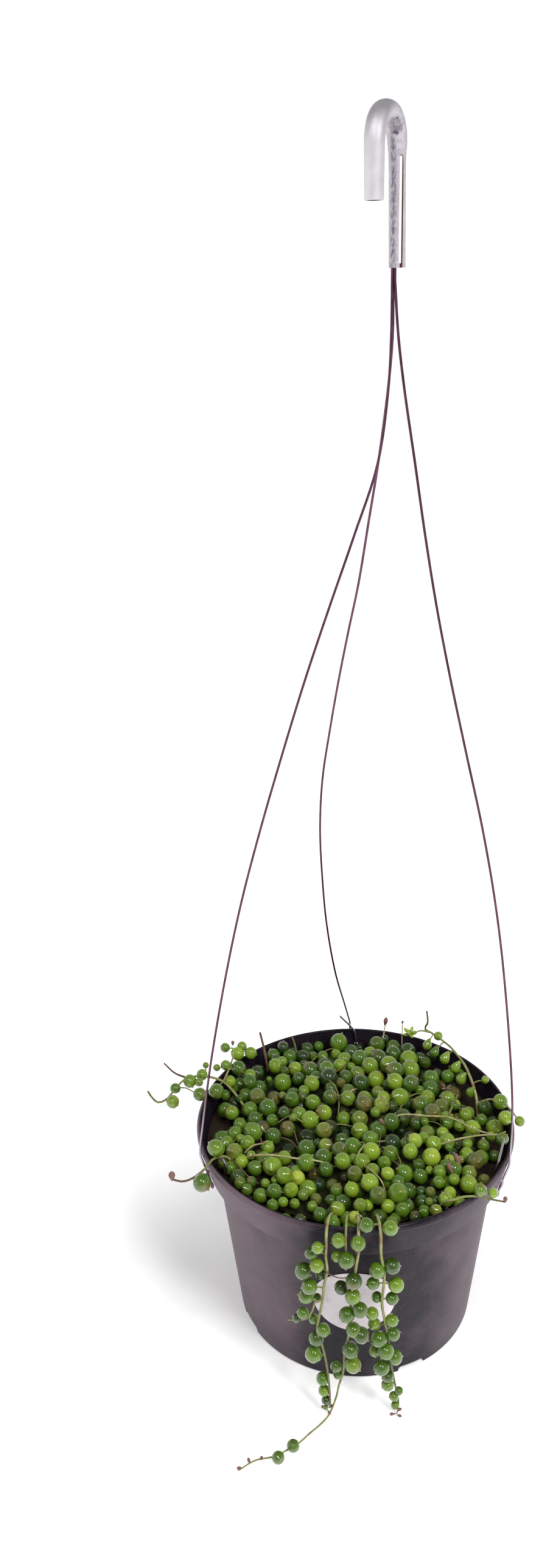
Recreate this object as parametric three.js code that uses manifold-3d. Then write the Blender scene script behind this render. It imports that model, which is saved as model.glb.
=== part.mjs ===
// String of pearls in a black nursery pot, on a three-wire hanger with a bent tube hook.
// Millimetres, +Z up. The origin is the middle of the pot's underside; -Y is the pot's front.
import * as THREE from 'three';
import { mergeVertices } from 'three/addons/utils/BufferGeometryUtils.js';
import Module from 'manifold-3d';

const wasm = await Module();
wasm.setup();

// ---------------------------------------------------------------- driving dimensions
const fit = 0.42; // clearance left between neighbouring pieces

const pot = {
  height: 105, rimRadius: 76, baseRadius: 57.9, shoulderRadius: 67.4,
  collarHeight: 17.5, collarFootRadius: 71.8, wall: 1.2, lip: 1.9, floor: 1.8, sides: 36,
};
const collarFoot = pot.height - pot.collarHeight;
const drainNotch = { count: 4, firstAngle: 23.5, width: 14, height: 3.5 };
const drainHole = { count: 4, firstAngle: 68.5, radius: 4, ring: 30 };

const soil = { rimDrop: 11, crown: 1.2, lump: 0.7, rings: 3 };
const soilTop = pot.height - soil.rimDrop;

const label = { angle: 265.6, height: 52.3, radius: 18.8, thickness: 0.4, sides: 20, rings: 2 };

const wire = {
  radius: 0.45, sides: 4, freeStep: 25, bendStep: 2.4,
  hairpin: 1.7, holeDrop: 8, holeRadius: 1.4, tail: 17, bundle: 0.76,
};
const hook = {
  tubeRadius: 3.3, boreRadius: 2.5, boreDepth: 14, bendRadius: 13.5, heading: 246.3, legX: 15.5, legY: 0,
  top: 536, shortEnd: 502.5, longEnd: 481.5, crimpTop: 517, pocketRadius: 1.62, pocketDepth: 13,
};
const crimp = { lobe: -1.35, lobeRadius: 2.1, webTop: 0.35, webFoot: -0.9, bead: 2.45, beadRadius: 0.95 };

const stem = { radius: 0.85, sides: 4, step: 8 };
const mat = { radius: 68.5, pearls: 168, seed: 71, coreRadius: 64.5, coreSides: 28, coreRings: 4 };

// ---------------------------------------------------------------- shared helpers
const radians = (degrees) => degrees * Math.PI / 180;
const along = (angle, radius, z) => new THREE.Vector3(
  radius * Math.cos(radians(angle)), radius * Math.sin(radians(angle)), z);
const spot = (xyz) => new THREE.Vector3(...xyz);
const standUp = (geometry) => geometry.rotateX(Math.PI / 2); // from turned about Y to turned about Z

function randomSource(seed) {
  let state = seed;
  return () => {
    state = (state * 16807) % 2147483647;
    return state / 2147483647;
  };
}

function solidFrom(geometry) {
  geometry.deleteAttribute('normal');
  geometry.deleteAttribute('uv');
  const merged = mergeVertices(geometry, 1e-4);
  return new wasm.Manifold(new wasm.Mesh({
    numProp: 3,
    vertProperties: new Float32Array(merged.attributes.position.array),
    triVerts: new Uint32Array(merged.index.array),
  }));
}

const joined = (solids) => solids.reduce((whole, next) => whole.add(next));

// The biggest connected body: a scrap that fusing leaves loose is dropped.
function mainBody(solid) {
  return solid.decompose().reduce((best, next) => (next.volume() > best.volume() ? next : best));
}

// Rings of a tube stand exactly on these stations.
class StationPath extends THREE.Curve {
  constructor(stations) {
    super();
    this.stations = stations;
  }

  station(u, shift = 0) {
    const last = this.stations.length - 1;
    return this.stations[Math.min(last, Math.max(0, Math.round(u * last) + shift))];
  }

  getPoint(t) { return this.station(t).clone(); }

  getPointAt(u) { return this.getPoint(u); }

  getTangentAt(u) { return this.station(u, 1).clone().sub(this.station(u, -1)).normalize(); }
}

function ringShape(radius, sides) {
  return new THREE.Shape(Array.from({ length: sides }, (_, i) => new THREE.Vector2(
    radius * Math.cos(2 * Math.PI * i / sides), radius * Math.sin(2 * Math.PI * i / sides))));
}

function tubeThrough(stations, radius, sides) {
  return solidFrom(new THREE.ExtrudeGeometry(ringShape(radius, sides), {
    steps: stations.length - 1, extrudePath: new StationPath(stations), bevelEnabled: false,
  }));
}

const smooth = (points) => new THREE.CatmullRomCurve3(points, false, 'centripetal');

function stationsAlong(points, step) {
  const path = smooth(points);
  return path.getSpacedPoints(Math.max(2, Math.round(path.getLength() / step)));
}

const tube = (points, radius, { sides, step } = stem) => tubeThrough(stationsAlong(points, step), radius, sides);

// The same tube swollen by `spare` and, where it is rooted in the soil, begun that much deeper.
function rootedTube(points, radius, spare, { sides, step } = stem) {
  const stations = stationsAlong(points, step);
  const [foot, next] = stations;
  if (foot.z < soilTop) foot.add(foot.clone().sub(next).setLength(0.001 + 1.4 * spare));
  return tubeThrough(stations, radius + spare, sides);
}

// A faceted ball stretched along `tip`: a pearl leaf with its small point, or a slim bud.
function berry(centre, radius, tip, stretch = 1) {
  const ball = new THREE.IcosahedronGeometry(radius * 1.1, 0);
  const corner = new THREE.Vector3().fromBufferAttribute(ball.attributes.position, 0).normalize();
  ball.applyQuaternion(new THREE.Quaternion().setFromUnitVectors(corner, new THREE.Vector3(0, 0, 1)));
  ball.scale(1, 1, stretch);
  ball.applyQuaternion(new THREE.Quaternion().setFromUnitVectors(
    new THREE.Vector3(0, 0, 1), tip.clone().normalize()));
  ball.translate(centre.x, centre.y, centre.z);
  return solidFrom(ball);
}

// ---------------------------------------------------------------- pot
const bodyRadius = (z) => pot.baseRadius + (pot.shoulderRadius - pot.baseRadius) * z / collarFoot;
const collarRadius = (z) => pot.collarFootRadius
  + (pot.rimRadius - pot.collarFootRadius) * (z - collarFoot) / pot.collarHeight;
const lipRadius = pot.rimRadius - pot.lip - 0.2;
const insideRadius = (z) => pot.collarFootRadius - pot.wall
  + (lipRadius - pot.collarFootRadius + pot.wall) * (z - collarFoot - 1) / (pot.collarHeight - 2.6);

function potSolid() {
  const { height, rimRadius, collarFootRadius, shoulderRadius, baseRadius, wall, lip, floor } = pot;
  const outline = [
    [0, 0], [baseRadius - 0.8, 0], [baseRadius, 0.8], [shoulderRadius, collarFoot - 0.9],
    [collarFootRadius, collarFoot - 0.2],
    [rimRadius, height - 0.9], [rimRadius - 0.7, height], [rimRadius - lip, height - 0.1],
    [lipRadius, height - 1.6], [collarFootRadius - wall, collarFoot + 1],
    [shoulderRadius - wall, collarFoot + 0.6], [baseRadius - wall, floor], [0, floor],
  ].map(([r, z]) => new THREE.Vector2(r, z));
  let solid = solidFrom(standUp(new THREE.LatheGeometry(outline, pot.sides)));

  for (let i = 0; i < drainNotch.count; i += 1) {
    const notch = new THREE.BoxGeometry(9, drainNotch.width, drainNotch.height * 2);
    notch.translate(baseRadius, 0, 0);
    notch.rotateZ(radians(drainNotch.firstAngle + i * 360 / drainNotch.count));
    solid = solid.subtract(solidFrom(notch));
  }
  for (let i = 0; i < drainHole.count; i += 1) {
    const hole = standUp(new THREE.CylinderGeometry(drainHole.radius, drainHole.radius, 3 * floor, 10));
    const middle = along(drainHole.firstAngle + i * 360 / drainHole.count, drainHole.ring, floor / 2);
    hole.translate(middle.x, middle.y, middle.z);
    solid = solid.subtract(solidFrom(hole));
  }
  return solid;
}

// ---------------------------------------------------------------- soil
function soilHeight(x, y) {
  const out = Math.hypot(x, y);
  const lumps = Math.sin(x / 5 + 1) * Math.cos(y / 6) * Math.min(1, (72 - out) / 8);
  return soilTop + soil.crown * (1 - (out / 72) ** 2) + soil.lump * lumps;
}

function soilSolid() {
  const { wall, baseRadius, shoulderRadius, collarFootRadius, floor } = pot;
  const edge = insideRadius(soilTop) - fit;
  const outline = [
    [0, floor + fit], [baseRadius - wall - fit - 0.1, floor + fit],
    [shoulderRadius - wall - fit - 0.1, collarFoot + 0.6 + fit],
    [collarFootRadius - wall - fit - 0.1, collarFoot + 1 + fit],
  ];
  for (let i = soil.rings; i >= 0; i -= 1) outline.push([edge * i / soil.rings, soilTop]);
  const geometry = standUp(new THREE.LatheGeometry(
    outline.map(([r, z]) => new THREE.Vector2(r, z)), pot.sides));
  const places = geometry.attributes.position;
  for (let i = 0; i < places.count; i += 1) {
    if (places.getZ(i) > soilTop - 0.01) places.setZ(i, soilHeight(places.getX(i), places.getY(i)));
  }
  return solidFrom(geometry);
}

// ---------------------------------------------------------------- label
// A blank round sticker, rolled onto the pot's cone.
function labelSolid() {
  const outline = [];
  for (let i = 0; i <= label.rings; i += 1) outline.push([label.radius * i / label.rings, 0]);
  for (let i = label.rings; i >= 0; i -= 1) outline.push([label.radius * i / label.rings, label.thickness]);
  const disc = standUp(new THREE.LatheGeometry(
    outline.map(([r, out]) => new THREE.Vector2(r, out)), label.sides));
  const places = disc.attributes.position;
  for (let i = 0; i < places.count; i += 1) {
    const z = label.height + places.getY(i);
    const angle = label.angle + places.getX(i) / bodyRadius(label.height) * 180 / Math.PI;
    const place = along(angle, bodyRadius(z) + fit + 0.1 + places.getZ(i), z);
    places.setXYZ(i, place.x, place.y, place.z);
  }
  return solidFrom(disc);
}

// ---------------------------------------------------------------- hook
// The tube comes up from its open end, turns over and goes down to the leg crimped round the wires.
const hookOut = along(hook.heading, 1, 0); // from the long leg towards the short one
const hookAcross = new THREE.Vector3(-hookOut.y, hookOut.x, 0);
const hookLobe = new THREE.Vector3(hook.legX, hook.legY, 0).addScaledVector(hookAcross, crimp.lobe);
const bendHeight = hook.top - hook.tubeRadius - hook.bendRadius;

// Outline of the crimped leg: a round lobe over the wires, a flat web and a slim folded edge.
function crimpOutline() {
  const { lobe, lobeRadius, webTop, webFoot, bead, beadRadius } = crimp;
  const ring = (middle, radius, angles) => angles.map((angle) => [
    middle + radius * Math.cos(radians(angle)), radius * Math.sin(radians(angle))]);
  return [
    ...ring(bead, beadRadius, [-20, 40, 100, 150]), [1.35, webTop], [0.75, webTop],
    ...ring(lobe, lobeRadius, [35, 75, 115, 155, 195, 235, 275, 315]),
    [0.85, webFoot], [1.45, webFoot],
    ...ring(bead, beadRadius, [-120, -70]),
  ];
}

function hookRing(centre, outward, crimped) {
  const flat = crimpOutline();
  return flat.map(([a, b], i) => {
    const angle = -2 * Math.PI * 0.04 + 2 * Math.PI * i / flat.length;
    const across = THREE.MathUtils.lerp(hook.tubeRadius * Math.cos(angle), a, crimped);
    const out = THREE.MathUtils.lerp(hook.tubeRadius * Math.sin(angle), b, crimped);
    return centre.clone().addScaledVector(hookAcross, across).addScaledVector(outward, out);
  });
}

// A closed skin over rings that have the same number of corners.
function loft(rings) {
  const sides = rings[0].length;
  const middle = (ring) => ring.reduce((sum, p) => sum.add(p), new THREE.Vector3()).divideScalar(sides);
  const corners = [...rings.flat(), middle(rings[0]), middle(rings.at(-1))];
  const faces = [];
  for (let i = 0; i < rings.length - 1; i += 1) {
    for (let j = 0; j < sides; j += 1) {
      const [a, b] = [i * sides + j, i * sides + (j + 1) % sides];
      faces.push(a, b + sides, b, a, a + sides, b + sides);
    }
  }
  const last = (rings.length - 1) * sides;
  for (let j = 0; j < sides; j += 1) {
    faces.push(corners.length - 2, j, (j + 1) % sides);
    faces.push(corners.length - 1, last + (j + 1) % sides, last + j);
  }
  const geometry = new THREE.BufferGeometry().setFromPoints(corners);
  geometry.setIndex(faces);
  return solidFrom(geometry);
}

function hookSolid() {
  const { legX, legY, bendRadius, shortEnd, longEnd, crimpTop, boreDepth } = hook;
  const shortLeg = new THREE.Vector3(legX, legY, 0).addScaledVector(hookOut, 2 * bendRadius);
  const bendMiddle = new THREE.Vector3(legX, legY, bendHeight).addScaledVector(hookOut, bendRadius);
  const rings = [shortEnd, shortEnd + 8, bendHeight].map(
    (z) => hookRing(shortLeg.clone().setZ(z), hookOut, 0));
  const bendSteps = 8;
  for (let i = 1; i < bendSteps; i += 1) {
    const turn = Math.PI * i / bendSteps;
    const outward = hookOut.clone().multiplyScalar(Math.cos(turn)).setZ(Math.sin(turn));
    rings.push(hookRing(bendMiddle.clone().addScaledVector(outward, bendRadius), outward,
      0.5 * Math.max(0, (i - 5) / 3) ** 2));
  }
  const inward = hookOut.clone().negate();
  const leg = new THREE.Vector3(legX, legY, 0);
  for (const [z, crimped] of [[bendHeight, 0.6], [crimpTop, 0.8], [crimpTop - 5, 1], [490, 1],
    [longEnd + 0.8, 1], [longEnd, 0.96]]) {
    rings.push(hookRing(leg.clone().setZ(z), inward, crimped));
  }
  const round = (radius, length, x, y, z) => {
    const drill = standUp(new THREE.CylinderGeometry(radius, radius, length, 12));
    return solidFrom(drill.translate(x, y, z));
  };
  return loft(rings)
    .subtract(round(hook.boreRadius, 2 * boreDepth, shortLeg.x, shortLeg.y, shortEnd))
    .subtract(round(hook.pocketRadius, 2 * hook.pocketDepth, hookLobe.x, hookLobe.y, longEnd));
}

// ---------------------------------------------------------------- wires
// Each free run goes from the hook down to just above the rim, chosen by eye.
const wires = [
  {
    name: 'wire_left', angle: 197.9, turn: 1, bundleAngle: 210,
    run: [[13.6, -0.2, 458], [12.6, -0.8, 439], [8.7, -1.8, 412], [-0.6, -4.3, 385], [-10.8, -7, 357],
      [-21, -9.7, 328], [-31, -12.4, 297], [-40.5, -14.9, 266], [-49.7, -17.3, 233], [-57.8, -19.5, 198],
      [-66.5, -21.8, 153], [-70.8, -22.9, 125]],
  },
  {
    name: 'wire_back', angle: 87.5, turn: -1, bundleAngle: 90,
    run: [[14.3, 1.8, 458], [13, 3.9, 439], [9.9, 8.4, 411], [6.9, 14.3, 388], [3.3, 22.2, 360],
      [-0.6, 29.3, 337], [-4.4, 36.6, 313], [-8, 44.4, 287], [-11.2, 52.4, 260], [-12.3, 59.8, 231],
      [-11.2, 65.9, 201], [-8.9, 70.8, 171], [-4.2, 75.2, 139], [0.4, 76.8, 120]],
  },
  {
    name: 'wire_right', angle: 331.8, turn: -1, bundleAngle: 330,
    run: [[16.2, -0.7, 458], [18.6, -2.2, 439], [22.8, -5, 412], [26.9, -7.9, 385], [31.7, -11.2, 357],
      [37.5, -15.3, 328], [44.1, -19.8, 298], [51, -24.6, 267], [56.9, -28.7, 235], [61.5, -32, 202],
      [66.4, -35.4, 154], [67.9, -36.4, 130]],
  },
];

const asAngle = (length) => length / pot.rimRadius * 180 / Math.PI;
const holeHeight = pot.height - wire.holeDrop;

// The free run, then the end that grips the pot: down the collar's face, round a hairpin below the
// collar's foot, up to its hole, in through the wall, and a short free tail standing up inside.
function wireStations({ angle, turn, bundleAngle, run }) {
  const beside = (step) => angle + turn * asAngle(step);
  const face = (z) => collarRadius(z) + wire.radius + fit + 0.15;
  const spread = 2 * wire.hairpin;
  const bundled = along(bundleAngle, wire.bundle, 0).add(hookLobe);
  const upper = [
    bundled.clone().setZ(hook.longEnd - 4), ...run.map(spot), along(angle, face(pot.height), pot.height + 3),
  ];
  const lower = [
    along(angle, face(pot.height), pot.height + 3), along(angle, face(pot.height), pot.height - 1),
    along(angle, face(holeHeight), holeHeight), along(angle, face(collarFoot), collarFoot + 0.5),
    along(beside(0.3 * wire.hairpin), face(collarFoot), collarFoot - 1.1),
    along(beside(wire.hairpin), face(collarFoot), collarFoot - 1.8),
    along(beside(1.7 * wire.hairpin), face(collarFoot), collarFoot - 1.1),
    along(beside(spread), face(collarFoot), collarFoot + 0.5),
    along(beside(spread), face(holeHeight) + 0.2, holeHeight - 1.2),
    along(beside(spread), collarRadius(holeHeight) - pot.wall / 2, holeHeight),
    along(beside(spread), collarRadius(holeHeight) - pot.wall - 1.6, holeHeight + 0.8),
    along(beside(spread - 1), pot.rimRadius - pot.lip - 1.7, pot.height),
    along(beside(spread - 3), pot.rimRadius - pot.lip - 1.2, holeHeight + wire.tail),
  ];
  return [
    bundled.clone().setZ(hook.longEnd + hook.pocketDepth - 1.5),
    ...stationsAlong(upper, wire.freeStep), ...stationsAlong(lower, wire.bendStep).slice(1),
  ];
}

const wireSolid = (description, spare = 0) => tubeThrough(
  wireStations(description), wire.radius + spare, wire.sides);

function wireHole({ angle, turn }) {
  const direction = angle + turn * asAngle(2 * wire.hairpin);
  const middle = along(direction, collarRadius(holeHeight) - pot.wall / 2, holeHeight);
  const drill = new THREE.CylinderGeometry(wire.holeRadius, wire.holeRadius, 5, 8);
  drill.rotateZ(Math.PI / 2);
  drill.rotateZ(radians(direction));
  return solidFrom(drill.translate(middle.x, middle.y, middle.z));
}

// ---------------------------------------------------------------- trailing strands
// A hanging strand roots in the soil at the front, goes over the rim and drops just clear of it.
const overRim = [[60, soilTop - 7], [62, soilTop + 3], [67, pot.height - 0.5], [73.5, pot.height + 2.6],
  [78, pot.height + 1.6], [79.8, pot.height - 4]];
const hangRadius = (z) => 79.7 - 1.2 * (1 - z / pot.height);

// hang: [angle, height, out] down the drop; floor: [x, y] of what lies on the surface below the pot.
// pearls: [angle, height, out, radius], with out counted from the line the stems hang on.
const strands = [
  {
    name: 'strand_front_left',
    hang: [[257, 98, 0], [256.8, 92, 0], [257.2, 84, 0], [256.2, 77, 0], [255.5, 67, 0], [254.3, 57, 0],
      [253.7, 48, 0], [255.3, 41, 0.4], [256.7, 31, 1], [257.4, 21, 1.2], [257.7, 12, 1.2], [257.7, 7, 1.2]],
    side: [[255.6, 68, 0], [253.1, 64.5, -1], [251.9, 59, -0.6], [250.1, 54.8, 0], [245.2, 51.6, 0],
      [243.7, 50.7, 0]],
    pearls: [[254.6, 98.3, 1.8, 2.4], [252.2, 93, 0.2, 2.6], [254.2, 88.3, 1.8, 2.9], [249.6, 81.9, 0, 3.5],
      [254.6, 79.1, -3, 2.2], [251.8, 75.6, 1.8, 3.2], [250.2, 67.9, 0, 3.1], [253.3, 65.1, -3, 1.9],
      [249, 57.5, 0, 2.5], [246.8, 53.5, 0, 1.8], [252, 52.3, -3, 2.2], [255.7, 50.1, 0, 2.8],
      [253.1, 43, -1.2, 3.2], [252.3, 34.6, 0, 3.6], [255.2, 20.6, 0, 2.7], [255.6, 13.4, 0, 2.4],
      [256.3, 8.2, 0.4, 2], [256.2, 4.2, 1, 1.1]],
  },
  {
    name: 'strand_front_short',
    hang: [[263, 98, 0], [263.3, 93, 0], [263.6, 87.5, 0]],
    pearls: [[260.8, 102.1, 0, 2.9], [263.2, 93.4, 2, 3.3], [260, 90.6, -2.8, 2.3]],
  },
  {
    name: 'strand_front_long',
    hang: [[266.9, 97, 0], [265.9, 85, 0], [265, 72, 0], [264, 60, 0], [263.8, 49, 0], [262.5, 37, -0.5],
      [262.1, 28, -1.5], [261.6, 22, -2], [260.4, 15.5, -2.2], [259.3, 7, -2.5]],
    pearls: [[266.7, 101.5, 0.6, 3.1], [265.4, 81.7, 1.8, 3.3], [265.1, 73.1, 1.8, 3.2],
      [261.3, 72.9, -3, 2.8], [263.3, 62.5, 1.8, 3.2], [267.3, 65.6, 1.8, 3.2], [271.2, 61.4, 0, 2.6],
      [265.4, 53.8, 1.8, 3.2], [267.7, 51.7, 2.6, 3.4], [264.4, 41.7, 1.6, 3.4], [265.2, 32.2, 1, 3.4],
      [259.6, 27.6, -1.8, 2.5], [260.1, 21.4, -3.2, 2.2]],
    floor: [[-17.5, -78.6], [-21.9, -83.8], [-26.7, -88], [-31.4, -92.5], [-37.1, -96.1], [-43.5, -99.2],
      [-51, -100.6], [-58, -105]],
    floorPearls: [[-34.3, -95.5, 2.9], [-41, -101.1, 2.9]],
  },
  {
    name: 'strand_front_right',
    hang: [[273.7, 98, 0], [273.9, 93, 0], [274.9, 84, 0], [274.7, 76, 0], [274.3, 67, 0], [275.2, 57, 0],
      [276, 50, 0], [277.4, 32, 0], [279, 18, 0], [280.2, 8, 0], [280.4, 3, 0]],
    pearls: [[269.3, 109.4, -1.6, 2.9], [276.7, 107.5, -1, 3.1], [272.7, 85.7, 0, 3.3], [277.3, 87.4, 0, 3.3],
      [271.4, 78.6, 0, 2.6], [278.7, 76.5, 0, 3.2], [273, 67.7, -3, 2.2], [277.5, 69, 0, 2.6],
      [277.5, 56.3, 0, 2.7], [272.2, 52.1, -3, 2.6], [277.9, 48.2, 0, 3], [273.4, 47, 0.8, 3.3],
      [272.7, 36.3, -3, 2.7], [275.5, 40.5, 1.8, 3.4], [278.7, 34.3, 0, 3.2], [274.3, 29.8, 0.8, 3.3],
      [276.5, 22.9, 0, 2.5], [276.5, 17.9, 0, 2.6], [280.4, 13, 0, 1.8], [278.7, 10.2, 0, 2],
      [279.2, 4.4, 0, 1.7]],
  },
];
const hung = ([angle, z, out]) => along(angle, hangRadius(z) + out, z);

// A pearl and, where it sits off the stem, the short stalk that holds it.
function stalkedBerry(centre, radius, spare, stems) {
  const near = stems.reduce((best, next) => (next.distanceTo(centre) < best.distanceTo(centre) ? next : best));
  const away = centre.clone().sub(near);
  const pearl = berry(centre, radius + spare, away.length() > 0.5 ? away : new THREE.Vector3(0, 0, 1));
  if (away.length() < 0.87 * radius + 0.4) return pearl;
  return pearl.add(tubeThrough([near, centre], 0.45 + spare, 4));
}

function strandSolid({ hang, side, pearls, floor = [], floorPearls = [] }, spare = 0) {
  const route = [
    ...overRim.map(([radius, z]) => along(hang[0][0], radius, z)),
    ...hang.map(hung),
    ...floor.map(([x, y]) => new THREE.Vector3(x, y, stem.radius + 0.5)),
  ];
  const parts = [rootedTube(route, stem.radius, spare)];
  const stems = smooth(route).getSpacedPoints(200);
  if (side) {
    parts.push(tube(side.map(hung), 0.5 + spare));
    stems.push(...smooth(side.map(hung)).getSpacedPoints(40));
  }
  for (const [angle, z, out, radius] of pearls) {
    parts.push(stalkedBerry(hung([angle, z, out]), radius, spare, stems));
  }
  for (const [x, y, radius] of floorPearls) {
    parts.push(stalkedBerry(new THREE.Vector3(x, y, 1.15 * radius + spare), radius, spare, stems));
  }
  return mainBody(joined(parts));
}

// ---------------------------------------------------------------- free tendrils above the rim
// stems: routes from a root in the soil; pearls: [x, y, z, radius]; buds: [x, y, z, radius].
const tendrils = [
  {
    name: 'tendril_left',
    stems: [
      { route: [[-47, 9, 87], [-50, 11, 96], [-54, 16, 102], [-62.9, 27.6, 106.6], [-68, 29.8, 108.2],
        [-77, 30.2, 109.5], [-83.4, 28, 109], [-88.6, 20.4, 107.5], [-92, 15.6, 106.5], [-95.5, 14.4, 106],
        [-98.9, 18, 106.5], [-101.1, 21.6, 107.5]], radius: 0.75 },
      { route: [[-64, 27.5, 107], [-61.5, 34, 109], [-59.5, 42, 110.2], [-58, 49, 111.5]], radius: 0.6 },
      { route: [[-82, 29.4, 109.2], [-88, 32.1, 110.2], [-94, 38.4, 112]], radius: 0.45 },
    ],
    pearls: [[-63.2, 50.6, 112, 2.35], [-54.5, 51.3, 112, 2.35], [-56.9, 47.8, 110, 3.2],
      [-50, 48, 110, 2.9], [-62.7, 38, 110, 2.5], [-56.2, 37.9, 108, 3.6], [-60.2, 29, 106.4, 2.5],
      [-67.3, 37, 109.4, 1.7], [-72.9, 38.5, 110, 1.5], [-74.6, 32.4, 108.7, 2.7], [-80.6, 28.3, 108, 3.1],
      [-67, 19.7, 107.6, 3.6], [-74.9, 15, 109.6, 3.1], [-87.6, 23.4, 107.5, 2.5], [-88.4, 14.6, 106, 3]],
    buds: [[-59.2, 52.1, 113.5, 1]],
  },
  {
    name: 'tendril_left_front',
    stems: [{ route: [[-55, -22, 87], [-57, -23, 97], [-61.5, -24.6, 103.6], [-67.2, -30.3, 107],
      [-70.4, -35.4, 106.4], [-75.9, -38.1, 103.4], [-80.9, -38.7, 102], [-85, -37.6, 102.2]], radius: 0.65 }],
    pearls: [[-72, -39.9, 102, 3.8]],
    buds: [[-85.8, -36.4, 103.2, 1.4]],
  },
  {
    name: 'tendril_right_front',
    stems: [{ route: [[31, -53, 87], [32.5, -55.5, 97], [34.8, -59.2, 103.4], [38, -61.8, 106.9],
      [43, -61.4, 108.2], [49, -61.5, 108.1], [55, -62.4, 107], [60.4, -63.4, 106.4]], radius: 0.6 }],
    pearls: [[50.2, -60.2, 110.5, 2.6], [55.7, -60.7, 109, 2]],
    buds: [[60.6, -63.6, 107.6, 1.1]],
  },
  {
    name: 'tendril_back_right',
    stems: [
      { route: [[60, 8, 87], [61.5, 9, 96], [61.4, 14, 102.6], [60.4, 21, 106.8], [58.3, 34.9, 108.6],
        [56, 41, 109.6], [53, 47.4, 110.6], [49, 52, 112], [45, 56, 113.2], [41.4, 58.8, 114.4],
        [42.8, 58.7, 118], [42.4, 60.6, 124]], radius: 0.7 },
      { route: [[44.5, 56.4, 113.4], [38.6, 57.6, 114], [34.5, 55.6, 113]], radius: 0.5 },
      { route: [[61.4, 12.4, 101], [66.6, 9.4, 105.4], [71, 3, 109], [74, -5, 110.4], [76, -12, 110.2]],
        radius: 0.6 },
    ],
    pearls: [[47.9, 54.5, 112.5, 2.2], [42.2, 52.7, 109, 2.5], [45.4, 47.5, 108, 2.5],
      [50.1, 42.6, 107.5, 2.8], [54.7, 35.8, 106.5, 2.8], [56.2, 27.4, 105.5, 2.8], [59.8, 18.7, 103.6, 2.7],
      [66.8, 21.8, 108, 1.8], [70.5, 1.4, 110, 3.4], [70.6, -10.4, 109.6, 3.2], [76.8, -13.8, 110, 2.3]],
    buds: [[33.4, 56.4, 113, 1.6]],
  },
];

function tendrilSolid({ stems, pearls, buds }, spare = 0) {
  const parts = stems.map(({ route, radius }) => rootedTube(route.map(spot), radius, spare));
  const points = stems.flatMap(({ route }) => smooth(route.map(spot)).getSpacedPoints(60));
  for (const [x, y, z, radius] of pearls) {
    parts.push(stalkedBerry(new THREE.Vector3(x, y, z), radius, spare, points));
  }
  for (const [x, y, z, radius] of buds) {
    parts.push(berry(new THREE.Vector3(x, y, z), radius + spare, new THREE.Vector3(0, 0, 1), 1.3));
  }
  return mainBody(joined(parts));
}

// ---------------------------------------------------------------- mat of pearls
// Soil shows through where the mat is bare: [x, y, half width, half depth].
const barePatches = [[-69, 8, 9, 13], [60, 22, 9, 12], [66, -14, 8, 9], [62, -34, 9, 9], [47, 44, 7, 6]];
const isBare = (x, y, grow = 1) => barePatches.some(
  ([cx, cy, rx, ry]) => Math.hypot((x - cx) / (rx * grow), (y - cy) / (ry * grow)) < 1);

// Level of the upper pearls' middles: low at the wall, crowned, with a hollow near the centre.
function matLevel(x, y) {
  const out = Math.hypot(x, y) / mat.radius;
  const hollow = 2.6 * Math.exp(-((x + 4) ** 2 + (y + 4) ** 2) / 260);
  const waves = 1.1 * Math.sin(x / 8 + 0.6) * Math.cos(y / 9 - 0.4);
  return soilTop + 5.6 + 4.2 * (1 - out ** 3) - hollow + waves;
}

function coreSolid() {
  const base = soilTop + soil.crown + soil.lump + 0.6;
  const outline = [[0, base]];
  for (let i = 1; i <= 2; i += 1) outline.push([mat.coreRadius * i / 2, base]);
  for (let i = mat.coreRings; i >= 0; i -= 1) outline.push([mat.coreRadius * i / mat.coreRings, base + 1]);
  const geometry = standUp(new THREE.LatheGeometry(
    outline.map(([r, z]) => new THREE.Vector2(r, z)), mat.coreSides));
  const places = geometry.attributes.position;
  for (let i = 0; i < places.count; i += 1) {
    let [x, y] = [places.getX(i), places.getY(i)];
    for (let pull = 0; pull < 12 && isBare(x, y); pull += 1) [x, y] = [x * 0.97, y * 0.97];
    const onTop = places.getZ(i) > base + 0.5;
    places.setXYZ(i, x, y, onTop ? Math.max(base + 0.8, matLevel(x, y) - 1.2) : base);
  }
  return solidFrom(geometry);
}

function matPearls() {
  const random = randomSource(mat.seed);
  const pearls = [];
  for (let i = 0; i < mat.pearls; i += 1) {
    const out = mat.radius * Math.sqrt((i + 0.5) / mat.pearls);
    const place = along(i * 137.508, out, 0);
    const x = place.x + 2.4 * (random() - 0.5);
    const y = place.y + 2.4 * (random() - 0.5);
    const radius = 2.9 + 1.5 * random() ** 0.8;
    const lift = 2.6 * random() - 0.4;
    const lean = along(360 * random(), 0.9, 0.3 + 0.7 * random());
    const inside = Math.min(1, (insideRadius(soilTop + 3) - fit - 1.12 * radius) / Math.hypot(x, y));
    if (!isBare(x, y)) {
      pearls.push({ centre: new THREE.Vector3(x * inside, y * inside, matLevel(x, y) + lift), radius, lean });
    }
  }
  return pearls;
}

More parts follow.
